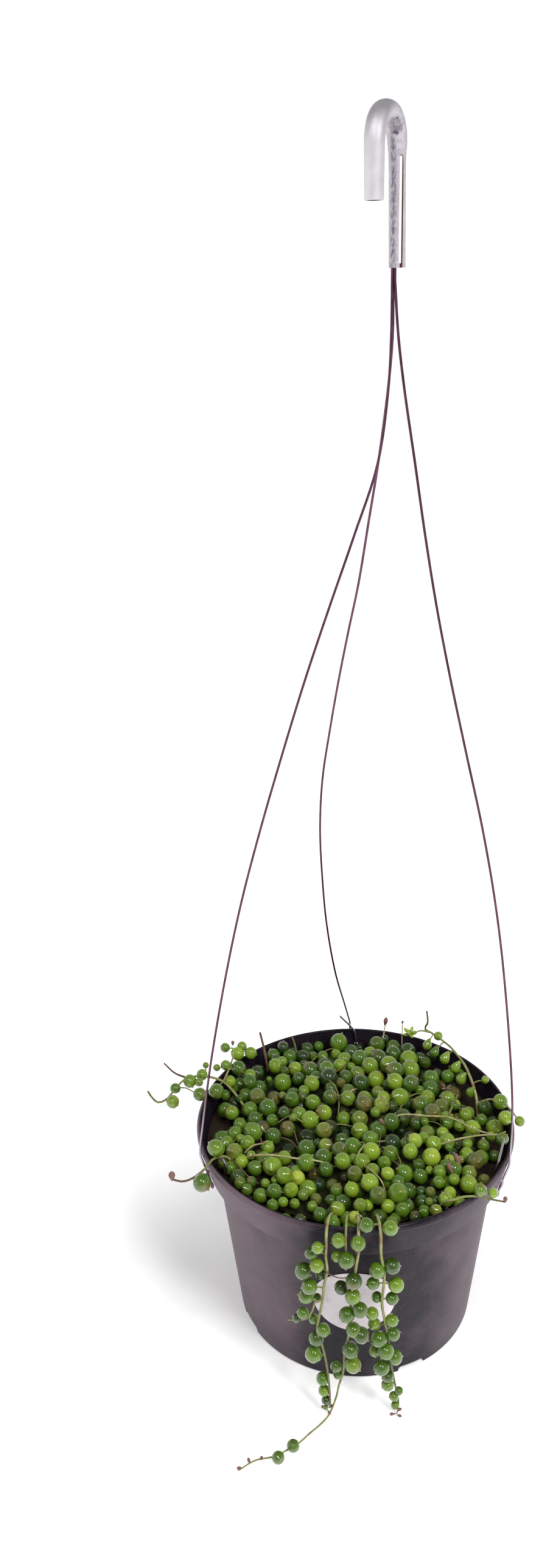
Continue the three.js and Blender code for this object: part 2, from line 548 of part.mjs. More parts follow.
// Bare stems and dry flower stalks that lie on the mat or stand up out of it.
const matStems = [
  { route: [[14, -1, 101], [20, -1, 106.4], [31, -3, 108], [45, -6, 107.6], [53, -11, 106.4],
    [60, -17, 105], [65, -19, 101.5]], radius: 0.6 },
  { route: [[36, -22, 101], [42, -23, 106], [52, -21, 106.6], [60, -19.5, 105.4], [66, -18, 102]], radius: 0.6 },
  { route: [[-54, -26, 100], [-47, -31, 106.6], [-36, -33, 107.8], [-25, -35, 107.2], [-13, -37, 102]],
    radius: 0.6 },
  { route: [[-8, -38, 101], [-3, -43, 107.4], [4, -49, 107.6], [8, -54, 102.4]], radius: 0.7 },
  { route: [[-42, 46, 99], [-43, 49, 107], [-44.6, 53, 116]], radius: 0.6 },
  { route: [[-26, 58, 99], [-27, 60, 106], [-28, 62, 110]], radius: 0.7 },
  { route: [[20, 62, 99], [20.6, 63.6, 106], [22, 66, 110]], radius: 0.5 },
  { route: [[30, 60, 99], [30.4, 62, 106], [31, 64, 113]], radius: 0.4 },
  { route: [[49, 17, 100], [51.5, 21, 106], [55, 28, 111]], radius: 0.7 },
];
const matBuds = [[22.4, 66.8, 112, 1.3], [31, 64.2, 113.6, 1]];
const rootPlaces = [[-30, 20], [5, 35], [-15, -25], [30, 5]];
const root = { radius: 1.2, foot: soilTop - 8, head: soilTop + 5 };

const rootSolid = ([x, y], spare = 0) => solidFrom(standUp(new THREE.CylinderGeometry(
  root.radius + spare, root.radius + spare, root.head - root.foot + 2 * spare, 6))
  .translate(x, y, (root.head + root.foot) / 2));

function matSolid(obstacles) {
  const parts = [coreSolid(), ...rootPlaces.map((place) => rootSolid(place))];
  for (const { centre, radius, lean } of matPearls()) parts.push(berry(centre, radius, lean));
  for (const { route, radius } of matStems) parts.push(tube(route.map(spot), radius, { sides: 4, step: 9 }));
  for (const [x, y, z, radius] of matBuds) {
    parts.push(berry(new THREE.Vector3(x, y, z), radius, new THREE.Vector3(0, 0, 1), 1.6));
  }
  return mainBody(joined(parts).subtract(joined(obstacles)));
}

// ---------------------------------------------------------------- assembly
const finishes = {
  pot: { color: 0x453f45, roughness: 0.5 },
  soil: { color: 0x2e211b, roughness: 1 },
  label: { color: 0xece4e6, roughness: 0.6 },
  wire: { color: 0x8d8790, roughness: 0.4, metalness: 1 },
  hook: { color: 0xc9c7cb, roughness: 0.35, metalness: 1 },
  pearls: { color: 0x5f9a3c, roughness: 0.4 },
};

const plant = new THREE.Group();

function place(name, solid, finish) {
  const { vertProperties, triVerts } = solid.getMesh();
  const geometry = new THREE.BufferGeometry();
  geometry.setAttribute('position', new THREE.BufferAttribute(vertProperties, 3));
  geometry.setIndex(new THREE.BufferAttribute(triVerts, 1));
  const mesh = new THREE.Mesh(geometry, new THREE.MeshStandardMaterial(finishes[finish]));
  mesh.name = name;
  plant.add(mesh);
}

const roots = [
  ...strands.map((strand) => strandSolid(strand, fit)),
  ...tendrils.map((tendril) => tendrilSolid(tendril, fit)),
];
const tails = wires.map((description) => wireSolid(description, fit));
const soilHoles = joined([...roots, ...rootPlaces.map((spotted) => rootSolid(spotted, fit))]);

place('pot', potSolid().subtract(joined(wires.map(wireHole))), 'pot');
place('soil', mainBody(soilSolid().subtract(soilHoles)), 'soil');
place('label', labelSolid(), 'label');
place('hook', hookSolid(), 'hook');
for (const description of wires) place(description.name, wireSolid(description), 'wire');
place('pearl_mat', matSolid([...roots, ...tails]), 'pearls');
for (const strand of strands) place(strand.name, strandSolid(strand), 'pearls');
for (const tendril of tendrils) place(tendril.name, tendrilSolid(tendril), 'pearls');

export default plant;
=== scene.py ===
# String of pearls in a black nursery pot, with a three-wire hanger that ends in a bent tube hook.
# Lengths are worked out in millimetres, as on the bench, and handed over in metres.
import math
import bmesh
import bpy
from mathutils import Matrix, Vector


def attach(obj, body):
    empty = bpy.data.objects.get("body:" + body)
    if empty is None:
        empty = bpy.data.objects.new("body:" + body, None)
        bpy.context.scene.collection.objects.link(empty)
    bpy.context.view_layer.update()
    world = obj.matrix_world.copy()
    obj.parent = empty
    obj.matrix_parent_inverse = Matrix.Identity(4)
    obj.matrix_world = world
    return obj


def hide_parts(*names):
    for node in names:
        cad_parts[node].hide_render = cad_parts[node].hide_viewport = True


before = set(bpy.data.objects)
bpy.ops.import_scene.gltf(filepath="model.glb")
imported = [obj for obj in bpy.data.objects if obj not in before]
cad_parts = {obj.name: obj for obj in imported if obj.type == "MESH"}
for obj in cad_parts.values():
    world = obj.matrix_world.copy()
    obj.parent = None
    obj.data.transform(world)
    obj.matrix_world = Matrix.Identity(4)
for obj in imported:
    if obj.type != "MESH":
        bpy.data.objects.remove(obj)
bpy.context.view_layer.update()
MM = 0.001

# ---------------------------------------------------------------- camera
# It stands high above the pot and looks down into it, so the hook is nearly level with it. Its
# place and its turn were fitted to the rim, the foot, the sides of the pot and the wires.
CAMERA_PLACE = Vector((-36.81, -481.82, 476.37))
FOCAL_PIXELS, FRAME_PIXELS = 2000, 2576  # the lens, and the height of the frame
yaw, pitch, roll = 0.01012, 0.3883, -0.02473  # in radians
ahead = Vector((math.sin(yaw) * math.cos(pitch), math.cos(yaw) * math.cos(pitch), -math.sin(pitch)))
level_right = ahead.cross(Vector((0, 0, 1))).normalized()
level_up = level_right.cross(ahead)
frame_right = level_right * math.cos(roll) + level_up * math.sin(roll)
frame_up = level_up * math.cos(roll) - level_right * math.sin(roll)
lens = bpy.data.cameras.new("camera")
lens.sensor_fit, lens.sensor_height, lens.clip_end = "VERTICAL", 36, 50
lens.lens = 36 * FOCAL_PIXELS / FRAME_PIXELS
camera = bpy.data.objects.new("camera", lens)
camera.matrix_world = (Matrix.Translation(CAMERA_PLACE * MM)
                       @ Matrix((frame_right, frame_up, -ahead)).transposed().to_4x4())
bpy.context.collection.objects.link(camera)
bpy.context.scene.camera = camera
bpy.context.scene.view_settings.view_transform = "Standard"


# ---------------------------------------------------------------- floor and light
# A matt white board that runs out of sight, under a white room: the ground goes to plain white,
# with a weak soft shadow to the left and behind the pot.
def colour(hex_code):
    """sRGB hex code to the linear colour that a shader takes."""
    parts = [int(hex_code[i:i + 2], 16) / 255 for i in (0, 2, 4)]
    return [p / 12.92 if p <= 0.04045 else ((p + 0.055) / 1.055) ** 2.4 for p in parts] + [1]


def adder(tree):
    """The function that adds a node to this tree. Its inputs are listed in their order or named. Each is a
    value, a hex colour, a socket, a node, which stands for its first output, or a list of these for a
    socket that takes several. Stops are the colours of a ramp, by their places."""
    def add(kind, inputs=(), stops=None, **settings):
        node = tree.nodes.new(kind if "Node" in kind else "ShaderNode" + kind)
        for name, value in settings.items():
            setattr(node, name, value)
        if isinstance(inputs, dict):
            pairs = [(node.inputs[key], value) for key, value in inputs.items()]
        else:
            pairs = zip([socket for socket in node.inputs if socket.enabled], inputs)
        for socket, value in pairs:
            for source in value if isinstance(value, list) else [value]:
                if isinstance(source, bpy.types.Node):
                    source = next(output for output in source.outputs if output.enabled)
                if isinstance(source, bpy.types.NodeSocket):
                    tree.links.new(source, socket)
                else:
                    socket.default_value = colour(source) if socket.type == "RGBA" else source
        if stops:
            ramp, places = node.color_ramp.elements, sorted(stops)
            ramp[0].position, ramp[1].position = places[0], places[-1]
            for place in places[1:-1]:
                ramp.new(place)
            for element, place in zip(ramp, places):
                element.color = colour(stops[place])
        return node
    return add


def blank_material(name):
    material = bpy.data.materials.new(name)
    material.use_nodes = True
    material.node_tree.nodes.clear()
    return material, adder(material.node_tree)


def put(name, mesh):
    thing = bpy.data.objects.new(name, mesh)
    bpy.context.collection.objects.link(thing)
    return thing


# Matt melamine board: plain white, with a faint unevenness of gloss. Here as in every pattern, the
# scale is how often it repeats in a metre, so these clouds are 70 mm across. The board glows towards
# its edges, and in front of the pot and behind it, which leaves the shadow beside it.
white_board, add = blank_material("matt white melamine board")
cloud = add("TexNoise", {"Scale": 14, "Detail": 3})
gloss = add("MapRange", [cloud, 0, 1, 0.5, 0.62])
place = add("TexCoord").outputs["Object"]
reach = add("VectorMath", [place], operation="LENGTH")
back_light = add("MapRange", [reach, 0.15, 1.1, 0.23, 0.7])
sides = add("SeparateXYZ", [place])
in_front = add("Math", [sides.outputs[1], -1.5], operation="MULTIPLY")
off_side = add("Math", [sides.outputs[1], in_front], operation="MAXIMUM")
behind = add("MapRange", [off_side, 0.02, 0.152, 0.23, 0.65])
back_light = add("Math", [back_light, behind], operation="MAXIMUM")
surface = add("BsdfPrincipled", {
    "Base Color": "efeeee", "Roughness": gloss, "Specular IOR Level": 0.2,
    "Emission Color": "ffffff", "Emission Strength": back_light})
add("OutputMaterial", [surface])

FLOOR_RADIUS, FLOOR_SIDES, FLOOR_DROP = 12, 64, 0.0002  # metres: it lies just under the pot's foot
turns = [math.tau * i / FLOOR_SIDES for i in range(FLOOR_SIDES)]
floor_mesh = bpy.data.meshes.new("floor")
floor_edge = [(FLOOR_RADIUS * math.cos(t), FLOOR_RADIUS * math.sin(t), -FLOOR_DROP) for t in turns]
floor_mesh.from_pydata(floor_edge, [], [tuple(range(FLOOR_SIDES))])
floor_mesh.materials.append(white_board)
floor = put("floor", floor_mesh)

room = bpy.data.worlds.new("white room")
room.use_nodes = True
room.node_tree.nodes.clear()
bpy.context.scene.world = room
add = adder(room.node_tree)
seen = add("LightPath")
# What shines mirrors a room that is dimmer overhead and behind the camera, and brightest at the left.
facing = add("SeparateXYZ", [add("TexCoord").outputs["Generated"]])
ceiling = add("MapRange", [facing.outputs[2], 0.1, 0.7, 1, 0.28])
camera_side = add("MapRange", [facing.outputs[1], -0.95, -0.3, 0.4, 1])
left_side = add("MapRange", [facing.outputs[0], -0.9, -0.4, 1.5, 1])
shown = add("Math", [ceiling, camera_side], operation="MULTIPLY")
shown = add("Math", [shown, left_side], operation="MULTIPLY")
mirrored = add("Mix", [seen.outputs["Is Glossy Ray"], 0.35, shown])
walls = add("Mix", [seen.outputs["Is Camera Ray"], mirrored, 1.1])
glow = add("Background", ["ffffff", walls])
add("OutputWorld", [glow])

LIT_HEIGHT = 0.09  # metres: how high above the floor the lamps are aimed
# Lamps: [name, azimuth and elevation in degrees, metres off, width, height, watts, seen in gloss]
for name, azimuth, elevation, off, width, height, watts, glossy in [
        ("key strip softbox", -54, 52, 1.6, 0.34, 1.6, 18.5, False),
        ("small key softbox", -62, 50, 1.4, 0.26, 0.26, 5, True),
        ("small fill softbox", -122, 62, 1.3, 0.2, 0.2, 3, True)]:
    lamp = bpy.data.lights.new(name, "AREA")
    lamp.shape, lamp.size, lamp.size_y, lamp.energy = "RECTANGLE", width, height, watts
    stand = put(name, lamp)
    tilt = math.radians(elevation)
    stand.location = Vector((math.cos(math.radians(azimuth)) * math.cos(tilt),
                             math.sin(math.radians(azimuth)) * math.cos(tilt), math.sin(tilt))) * off
    stand.rotation_euler = (-stand.location).to_track_quat("-Z", "Y").to_euler()
    stand.location.z += LIT_HEIGHT
    stand.visible_glossy = glossy

# ---------------------------------------------------------------- pot
# Injection-moulded polypropylene in one piece: tapered body, step out to a flared collar with a
# thin lip, four notches in the bottom edge, drain holes in the floor, and a hole for each wire.
HEIGHT, STEP = 105, 87.5  # of the rim, and of the step out to the collar
RIM, FOOT, SHOULDER, COLLAR_FOOT = 76, 57.9, 67.4, 71.8  # outer radii
WALL, LIP, POT_FLOOR = 1.2, 1.9, 1.8  # thicknesses
COLLAR_INSIDE = 14.9  # height of the collar's inner face
FIRST_NOTCH, FIRST_DRAIN = 23.5, 68.5  # in degrees, the other three at right angles to them
DRAIN_OUT, DRAIN, WIRE_HOLE = 30, 4, 1.0  # where the drain holes lie, and the holes' radii
WIRE_ANGLES = [(197.9, 1), (87.5, -1), (331.8, -1)]  # where each wire comes down, and which way it turns
TAIL_LEANS = [0, 9, 7.5]  # along the rim at each tail's tip; the first tail was pressed over instead
HOLE_HEIGHT, HAIRPIN = 97, 1.7  # the hairpin's half width


def body_radius(z):
    return FOOT + (SHOULDER - FOOT) * z / STEP


def collar_radius(z):
    return COLLAR_FOOT + (RIM - COLLAR_FOOT) * (z - STEP) / (HEIGHT - STEP)


def inside_radius(z):
    return COLLAR_FOOT - WALL + (RIM - LIP - 0.2 - COLLAR_FOOT + WALL) * (z - STEP - 1) / COLLAR_INSIDE


def around(angle, radius, z):
    """A point by its angle in degrees round the pot's axis."""
    return Vector((radius * math.cos(math.radians(angle)), radius * math.sin(math.radians(angle)), z))


def eased(corners):
    """Outline with each corner (r, z, ease) rounded off over its ease, in four steps."""
    outline = []
    for i, (r, z, ease) in enumerate(corners):
        here = Vector((r, z))
        if ease == 0:
            outline.append(here)
            continue
        before, after = Vector(corners[i - 1][:2]), Vector(corners[i + 1][:2])
        start = here + (before - here).normalized() * ease
        end = here + (after - here).normalized() * ease
        for t in (0, 0.25, 0.5, 0.75, 1):
            outline.append(start * (1 - t) ** 2 + here * 2 * t * (1 - t) + end * t ** 2)
    return outline


def new_mesh(name, corners, lines, faces):
    """A mesh in metres from corners in millimetres."""
    mesh = bpy.data.meshes.new(name)
    mesh.from_pydata([corner * MM for corner in corners], lines, faces)
    return mesh


def turned(outline, steps):
    """Closed mesh turned about the pot's axis from an outline that begins and ends on it."""
    corners, rings, faces = [], [], []
    for r, z in outline:
        count = steps if r > 1e-6 else 1
        rings.append(range(len(corners), len(corners) + count))
        corners += [around(360 * j / steps, r, z) for j in range(count)]
    for low, high in zip(rings, rings[1:]):
        for j in range(steps):
            k = (j + 1) % steps
            loop = [low[j % len(low)], low[k % len(low)], high[k % len(high)], high[j % len(high)]]
            faces.append(list(dict.fromkeys(loop)))
    return new_mesh("turned", corners, [], faces)


def cut(mesh, tools):
    """The mesh less the tools, each a closed mesh of its own."""
    blank = put("blank", mesh)
    for tool in tools:
        boolean = blank.modifiers.new("cut", "BOOLEAN")
        boolean.operation, boolean.solver, boolean.object = "DIFFERENCE", "EXACT", put("tool", tool)
    graph = bpy.context.evaluated_depsgraph_get()
    result = bpy.data.meshes.new_from_object(blank.evaluated_get(graph))
    for thing in [b.object for b in blank.modifiers] + [blank]:
        bpy.data.objects.remove(thing)
    return result


def cutter(shape, **sizes):
    tool = bmesh.new()
    shape(tool, **sizes)
    mesh = bpy.data.meshes.new("cutter")
    tool.to_mesh(mesh)
    tool.free()
    return mesh


def drill(radius, length, place, towards, sides=32):
    """A round cutter, `length` long, centred on its place and pointing `towards`."""
    return cutter(bmesh.ops.create_cone, cap_ends=True, segments=sides, radius1=radius * MM,
                  radius2=radius * MM, depth=length * MM, matrix=Matrix.Translation(Vector(place) * MM)
                  @ Vector(towards).to_track_quat("Z", "Y").to_matrix().to_4x4())


def notch(angle):
    """Cutter for one drain notch: 14 mm wide, 3.5 mm high, its upper corners eased."""
    arch = [(-7, -3), (7, -3), (7, 2.3), (6.65, 3.15), (5.8, 3.5), (-5.8, 3.5), (-6.65, 3.15), (-7, 2.3)]
    turn = Matrix.Rotation(math.radians(angle), 3, "Z")
    corners = [turn @ Vector((r, across, z)) for r in (FOOT - 4.5, FOOT + 4.5) for across, z in arch]
    n = len(arch)
    faces = [tuple(reversed(range(n))), tuple(range(n, 2 * n))]
    faces += [(i, (i + 1) % n, (i + 1) % n + n, i + n) for i in range(n)]
    return new_mesh("notch", corners, [], faces)


def as_angle(length):
    """The angle that a length along the rim takes."""
    return math.degrees(length / RIM)


def smooth_piece(name, mesh, crease, material):
    """The mesh as a piece of one material, smooth but for edges sharper than the crease."""
    mesh.shade_smooth()
    mesh.set_sharp_from_angle(angle=math.radians(crease))
    mesh.materials.clear()
    mesh.materials.append(material)
    return put(name, mesh)


pot_outline = eased([
    (0, 0, 0), (FOOT - 0.8, 0, 0.3), (FOOT, 0.8, 0.3), (SHOULDER, STEP - 0.9, 0.35),
    (COLLAR_FOOT, STEP - 0.2, 0.5), (RIM - 0.4, HEIGHT - 3.2, 0.4), (RIM, HEIGHT - 2.4, 0.4),
    (RIM, HEIGHT - 0.9, 0.5), (RIM - 0.7, HEIGHT, 0.5), (RIM - LIP, HEIGHT - 0.1, 0.4),
    (RIM - LIP - 0.2, HEIGHT - 1.6, 0.4), (COLLAR_FOOT - WALL, STEP + 1, 0.5),
    (SHOULDER - WALL, STEP + 0.6, 0.5), (FOOT - WALL, POT_FLOOR, 0.7), (0, POT_FLOOR, 0)])
tools = [notch(FIRST_NOTCH + 90 * i) for i in range(4)]
tools += [drill(DRAIN, 8, around(FIRST_DRAIN + 90 * i, DRAIN_OUT, POT_FLOOR / 2), (0, 0, 1))
          for i in range(4)]
for angle, turn in WIRE_ANGLES:
    hole = angle + turn * as_angle(2 * HAIRPIN)
    middle = around(hole, collar_radius(HOLE_HEIGHT) - WALL / 2, HOLE_HEIGHT)
    tools.append(drill(WIRE_HOLE, 5, middle, around(hole, 1, 0)))

# Polypropylene with carbon black, moulded against a fine satin tool: nearly black with a faint
# purple cast, a soft broad shine, and a lip rubbed shinier. Its left and right sides are painted paler in
# patches, dust with a painted reflection of the bright room; the collar's inner face is spared.
# The satin's grain, 0.7 mm, and the flecks, 1.1 mm, are drawn coarser than they are, so that they show.
pot_plastic, add = blank_material("moulded black polypropylene")
place = add("TexCoord").outputs["Object"]
dust = add("TexNoise", {"Vector": place, "Scale": 34, "Detail": 5, "Roughness": 0.6})
sides = add("SeparateXYZ", [place])
# Painted reflection: the left and right sides are painted paler, broken into patches by the dust noise.
painted_sheen_left = add("MapRange", [sides.outputs[0], -0.062, -0.015, 0.62, 0])
painted_sheen_right = add("MapRange", [sides.outputs[0], 0.02, 0.06, 0, 0.38])
dust_and_side_sheen = add("Math", [dust, painted_sheen_left], operation="ADD")
dust_and_side_sheen = add("Math", [dust_and_side_sheen, painted_sheen_right], operation="ADD")
level = add("VectorMath", [place, (1, 1, 0)], operation="MULTIPLY")
out = add("VectorMath", [level], operation="LENGTH")
flared = add("Math", [sides.outputs[2], -0.2215, out], operation="MULTIPLY_ADD")
inner_face = add("MapRange", [flared, 0.0512, 0.0518, 0.7, 0])
in_collar = add("Math", [sides.outputs[2], 0.088], operation="GREATER_THAN")
spared_inner_face = add("Math", [inner_face, in_collar], operation="MULTIPLY")
dust_and_side_sheen = add("Math", [dust_and_side_sheen, spared_inner_face], operation="SUBTRACT")
dust_and_painted_sheen = add("MapRange", [dust_and_side_sheen, 0.53, 1.08, 0, 0.85])
blotch = add("TexNoise", {"Vector": place, "Scale": 120, "Detail": 2})
blotched = add("MapRange", [blotch, 0.35, 0.65])
skin = add("Mix", [blotched, "0f0d13", "1a141b"], data_type="RGBA")
# The pale lavender grey is dust together with the painted reflection on the sides.
skin = add("Mix", [dust_and_painted_sheen, skin, "705e68"], data_type="RGBA")
fleck = add("TexNoise", {"Vector": place, "Scale": 900, "Detail": 3, "Roughness": 0.8})
flecked = add("MapRange", [fleck, 0.42, 0.7, 0, 0.26])
skin = add("Mix", [flecked, skin, "4a3b4c"], data_type="RGBA")
shine = add("MapRange", [dust, 0, 1, 0.36, 0.56])
handled = add("MapRange", [sides.outputs[2], 0.1035, 0.1045, 1, 0.45])
shine = add("Math", [shine, handled], operation="MULTIPLY")
satin = add("TexNoise", {"Vector": place, "Scale": 1400, "Detail": 2})
wavy = add("TexNoise", {"Vector": place, "Scale": 45, "Detail": 1})
relief = add("Math", [satin, 0.12], operation="MULTIPLY")
relief = add("Math", [wavy, relief], operation="ADD")
bump = add("Bump", {"Strength": 0.5, "Distance": 0.0002, "Height": relief})
surface = add("BsdfPrincipled", {
    "Base Color": skin, "Roughness": shine, "IOR": 1.49, "Specular IOR Level": 0.17, "Normal": bump})
add("OutputMaterial", [surface])
pot_mesh = cut(turned(pot_outline, 180), tools)
pot = smooth_piece("nursery_pot", pot_mesh, 38, pot_plastic)
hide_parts("pot")
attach(pot, "root")

# ---------------------------------------------------------------- soil
# Peat mix filled to 11 mm below the rim: a lumpy dark crust, with scraps of bark and pale grit
# that show where the plant leaves it bare.
SOIL_TOP, SOIL_REACH, SOIL_RINGS = 94, 72, 26
SOIL_GAP = 0.6  # what it leaves free to the wall


def soil_height(x, y):
    out = math.hypot(x, y)
    lumps = math.sin(x / 5 + 1) * math.cos(y / 6) * min(1, (SOIL_REACH - out) / 8)
    return SOIL_TOP + 1.2 * (1 - (out / SOIL_REACH) ** 2) + 0.7 * lumps


def random_source(seed):
    """Repeatable numbers from 0 to 1."""
    state = [seed]

    def draw():
        state[0] = state[0] * 16807 % 2147483647
        return state[0] / 2147483647
    return draw


chance = random_source(5)
soil_edge = inside_radius(SOIL_TOP) - 0.45
soil_outline = [Vector(p) for p in [
    (0, POT_FLOOR + 0.5), (FOOT - WALL - SOIL_GAP, POT_FLOOR + 0.5),
    (SHOULDER - WALL - SOIL_GAP, STEP + 1.0), (COLLAR_FOOT - WALL - SOIL_GAP, STEP + 1.5)]]
soil_outline += [Vector((soil_edge * i / SOIL_RINGS, SOIL_TOP)) for i in range(SOIL_RINGS, -1, -1)]
soil_mesh = turned(soil_outline, 150)
for corner in soil_mesh.vertices:
    if corner.co.z > (SOIL_TOP - 0.01) * MM:
        x, y = corner.co.x / MM, corner.co.y / MM
        crumbs = 0.9 * (chance() - 0.5) if math.hypot(x, y) < soil_edge - 1 else 0
        corner.co.z = (soil_height(x, y) + crumbs) * MM


def new_tree(name, sockets):
    """Geometry tree with named inputs, {name: (socket kind, value)}, and what adds a node to it."""
    made = bpy.data.node_groups.new(name, "GeometryNodeTree")
    made.interface.new_socket("Geometry", in_out="INPUT", socket_type="NodeSocketGeometry")
    for label, (kind, value) in sockets.items():
        socket = made.interface.new_socket(label, in_out="INPUT", socket_type=kind)
        if value is not None:
            socket.default_value = value
    made.interface.new_socket("Geometry", in_out="OUTPUT", socket_type="NodeSocketGeometry")
    add = adder(made)
    return made, add("NodeGroupInput").outputs, add


def grown(name, mesh, tree, **values):
    """The piece that a tree makes of the mesh, as a plain mesh."""
    piece = put(name, mesh)
    modifier = piece.modifiers.new("growth", "NODES")
    modifier.node_group = tree
    for item in tree.interface.items_tree:
        label = item.name.replace(" ", "_")
        if item.in_out == "INPUT" and label in values:
            modifier[item.identifier] = values[label]
    graph = bpy.context.evaluated_depsgraph_get()
    result = bpy.data.meshes.new_from_object(piece.evaluated_get(graph))
    piece.modifiers.clear()
    piece.data = result
    return piece


LITTER_REACH = 68.5
litter, given, add = new_tree("litter on the soil", {
    "Bits per square metre": ("NodeSocketFloat", 90000.0), "Bit size": ("NodeSocketFloat", 0.0011),
    "Scatter seed": ("NodeSocketInt", 3), "Finish": ("NodeSocketMaterial", None)})
where = add("GeometryNodeInputPosition")
axes = add("SeparateXYZ", [where])
on_top = add("FunctionNodeCompare", [axes.outputs[2], (SOIL_TOP - 0.5) * MM])
flat = add("VectorMath", [where, (1, 1, 0)], operation="MULTIPLY")
reach = add("VectorMath", [flat], operation="LENGTH")
inside = add("FunctionNodeCompare", [reach, LITTER_REACH * MM], operation="LESS_THAN")
open_soil = add("FunctionNodeBooleanMath", [on_top, inside])
dots = add("GeometryNodeDistributePointsOnFaces", {
    "Mesh": given["Geometry"], "Selection": open_soil, "Density": given["Bits per square metre"],
    "Seed": given["Scatter seed"]})
scrap = add("GeometryNodeMeshIcoSphere", {"Radius": given["Bit size"], "Subdivisions": 1})
shape = add("FunctionNodeRandomValue", {
    0: (0.5, 0.3, 0.25), 1: (1.9, 1.1, 0.6), "Seed": 11}, data_type="FLOAT_VECTOR")
tumble = add("FunctionNodeRandomValue", {
    0: (-0.5, -0.5, 0), 1: (0.5, 0.5, 6.28), "Seed": 12}, data_type="FLOAT_VECTOR")
bits = add("GeometryNodeInstanceOnPoints", {
    "Points": dots, "Instance": scrap, "Rotation": tumble, "Scale": shape})
tone = add("FunctionNodeRandomValue", {"Seed": 13}, data_type="FLOAT")
toned = add("GeometryNodeStoreNamedAttribute", {
    "Geometry": bits, "Name": "bit_tone", "Value": tone}, data_type="FLOAT", domain="INSTANCE")
both = add("GeometryNodeJoinGeometry", [[given["Geometry"], toned]])
real = add("GeometryNodeRealizeInstances", [both])
done = add("GeometryNodeSetMaterial", {"Geometry": real, "Material": given["Finish"]})
add("NodeGroupOutput", [done])

# Moist peat: nearly black brown, quite matt; the bits run from dark bark to tan, a few nearly white.
peat, add = blank_material("moist peat with bark and grit")
place = add("TexCoord").outputs["Object"]
grain = add("TexNoise", {"Vector": place, "Scale": 420, "Detail": 6, "Roughness": 0.7})
earth = add("ValToRGB", [grain], stops={0.3: "120d0b", 0.75: "33251c"})
bit_tone = add("Attribute", attribute_name="bit_tone")
bark = add("ValToRGB", [bit_tone.outputs["Fac"]], stops={
    0: "1c1410", 0.45: "261812", 0.82: "4f3426", 0.95: "8d7a63", 0.985: "d8d2c6", 1: "e4e0d8"})
is_bit = add("Math", [bit_tone.outputs["Fac"], 0.001], operation="GREATER_THAN")
mixed = add("Mix", [is_bit, earth, bark], data_type="RGBA")
bump = add("Bump", {"Strength": 0.9, "Distance": 0.0008, "Height": grain})
surface = add("BsdfPrincipled", {
    "Base Color": mixed, "Roughness": 0.88, "Specular IOR Level": 0.3, "Normal": bump})
add("OutputMaterial", [surface])
soil = grown("potting_soil", soil_mesh, litter, Finish=peat)
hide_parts("soil")
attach(soil, "root")

# ---------------------------------------------------------------- label
# A round die-cut sticker of coated paper, left blank. It is stuck to the front of the pot and follows
# the curve of the wall, with a film of glue behind it.
LABEL_ANGLE, LABEL_HEIGHT, LABEL_RADIUS = 265.6, 52.3, 18.8
PAPER, GLUE = 0.26, 0.12  # thicknesses
label_radii = [0, 6, 12, 18.6]
label_outline = [Vector((r, 0)) for r in label_radii]
label_outline += [Vector((LABEL_RADIUS, 0.08)), Vector((LABEL_RADIUS, PAPER - 0.08))]
label_outline += [Vector((r, PAPER)) for r in reversed(label_radii)]
label_mesh = turned(label_outline, 96)
for corner in label_mesh.vertices:
    across, up, out = (length / MM for length in corner.co)
    z = LABEL_HEIGHT + up
    corner.co = around(LABEL_ANGLE + math.degrees(across / body_radius(LABEL_HEIGHT)),
                       body_radius(z) + GLUE + out, z) * MM


def faced_out(mesh):
    """The mesh with its faces turned outwards."""
    shell = bmesh.new()
    shell.from_mesh(mesh)
    bmesh.ops.recalc_face_normals(shell, faces=shell.faces)
    shell.to_mesh(mesh)
    shell.free()
    return mesh


# Coated paper, handled while potting: pinkish white, semi-matt, with faint grey rubbed patches of
# 7 mm. Its fibres, 0.5 mm, are drawn coarser than they are, so that they show.
sticker_paper, add = blank_material("coated sticker paper")
place = add("TexCoord").outputs["Object"]
rub = add("TexNoise", {"Vector": place, "Scale": 150, "Detail": 5, "Roughness": 0.65})
wear_and_painted_highlight = add("MapRange", [rub, 0.5, 0.72, 0, 0.6])
paper = add("Mix", [wear_and_painted_highlight, "ded5da", "b5aab0"], data_type="RGBA")
fibre = add("TexNoise", {"Vector": place, "Scale": 2200, "Detail": 2})
bump = add("Bump", {"Strength": 0.2, "Distance": 0.00005, "Height": fibre})
surface = add("BsdfPrincipled", {"Base Color": paper, "Roughness": 0.48, "Normal": bump})
add("OutputMaterial", [surface])
sticker = smooth_piece("blank_sticker", faced_out(label_mesh), 50, sticker_paper)
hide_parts("label")
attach(sticker, "root")

# ---------------------------------------------------------------- hook
# Soft aluminium tube, 6.6 mm across, bent over cold and crimped flat round the three wires:
# a lobe over the wires, a bright pinched web and a slim folded edge. Its short end stays open.
HOOK_HEADING, LEG = 246.3, Vector((15.5, 0, 0))  # which way it bends over, and where its crimped leg stands
TUBE, BEND = 3.3, 13.5  # radii of the tube and of the bend's middle line
HOOK_TOP, SHORT_END, LONG_END = 536, 502.5, 481.5  # heights
BEND_HEIGHT = HOOK_TOP - TUBE - BEND
BEND_STEPS, CRIMP_START = 48, 36  # the crimp sets in within the bend's last steps
BEND_LEAN, LEG_LEAN = 0.45, 0.012  # sideways: over the bend, and for each mm up the leg
hook_out = around(HOOK_HEADING, 1, 0)
hook_across = Vector((-hook_out.y, hook_out.x, 0))
LOBE, LOBE_RADIUS = -1.35, 1.85  # of the crimp's section: across, and its radius
FOLD, FOLD_RADIUS = 2.3, 0.85
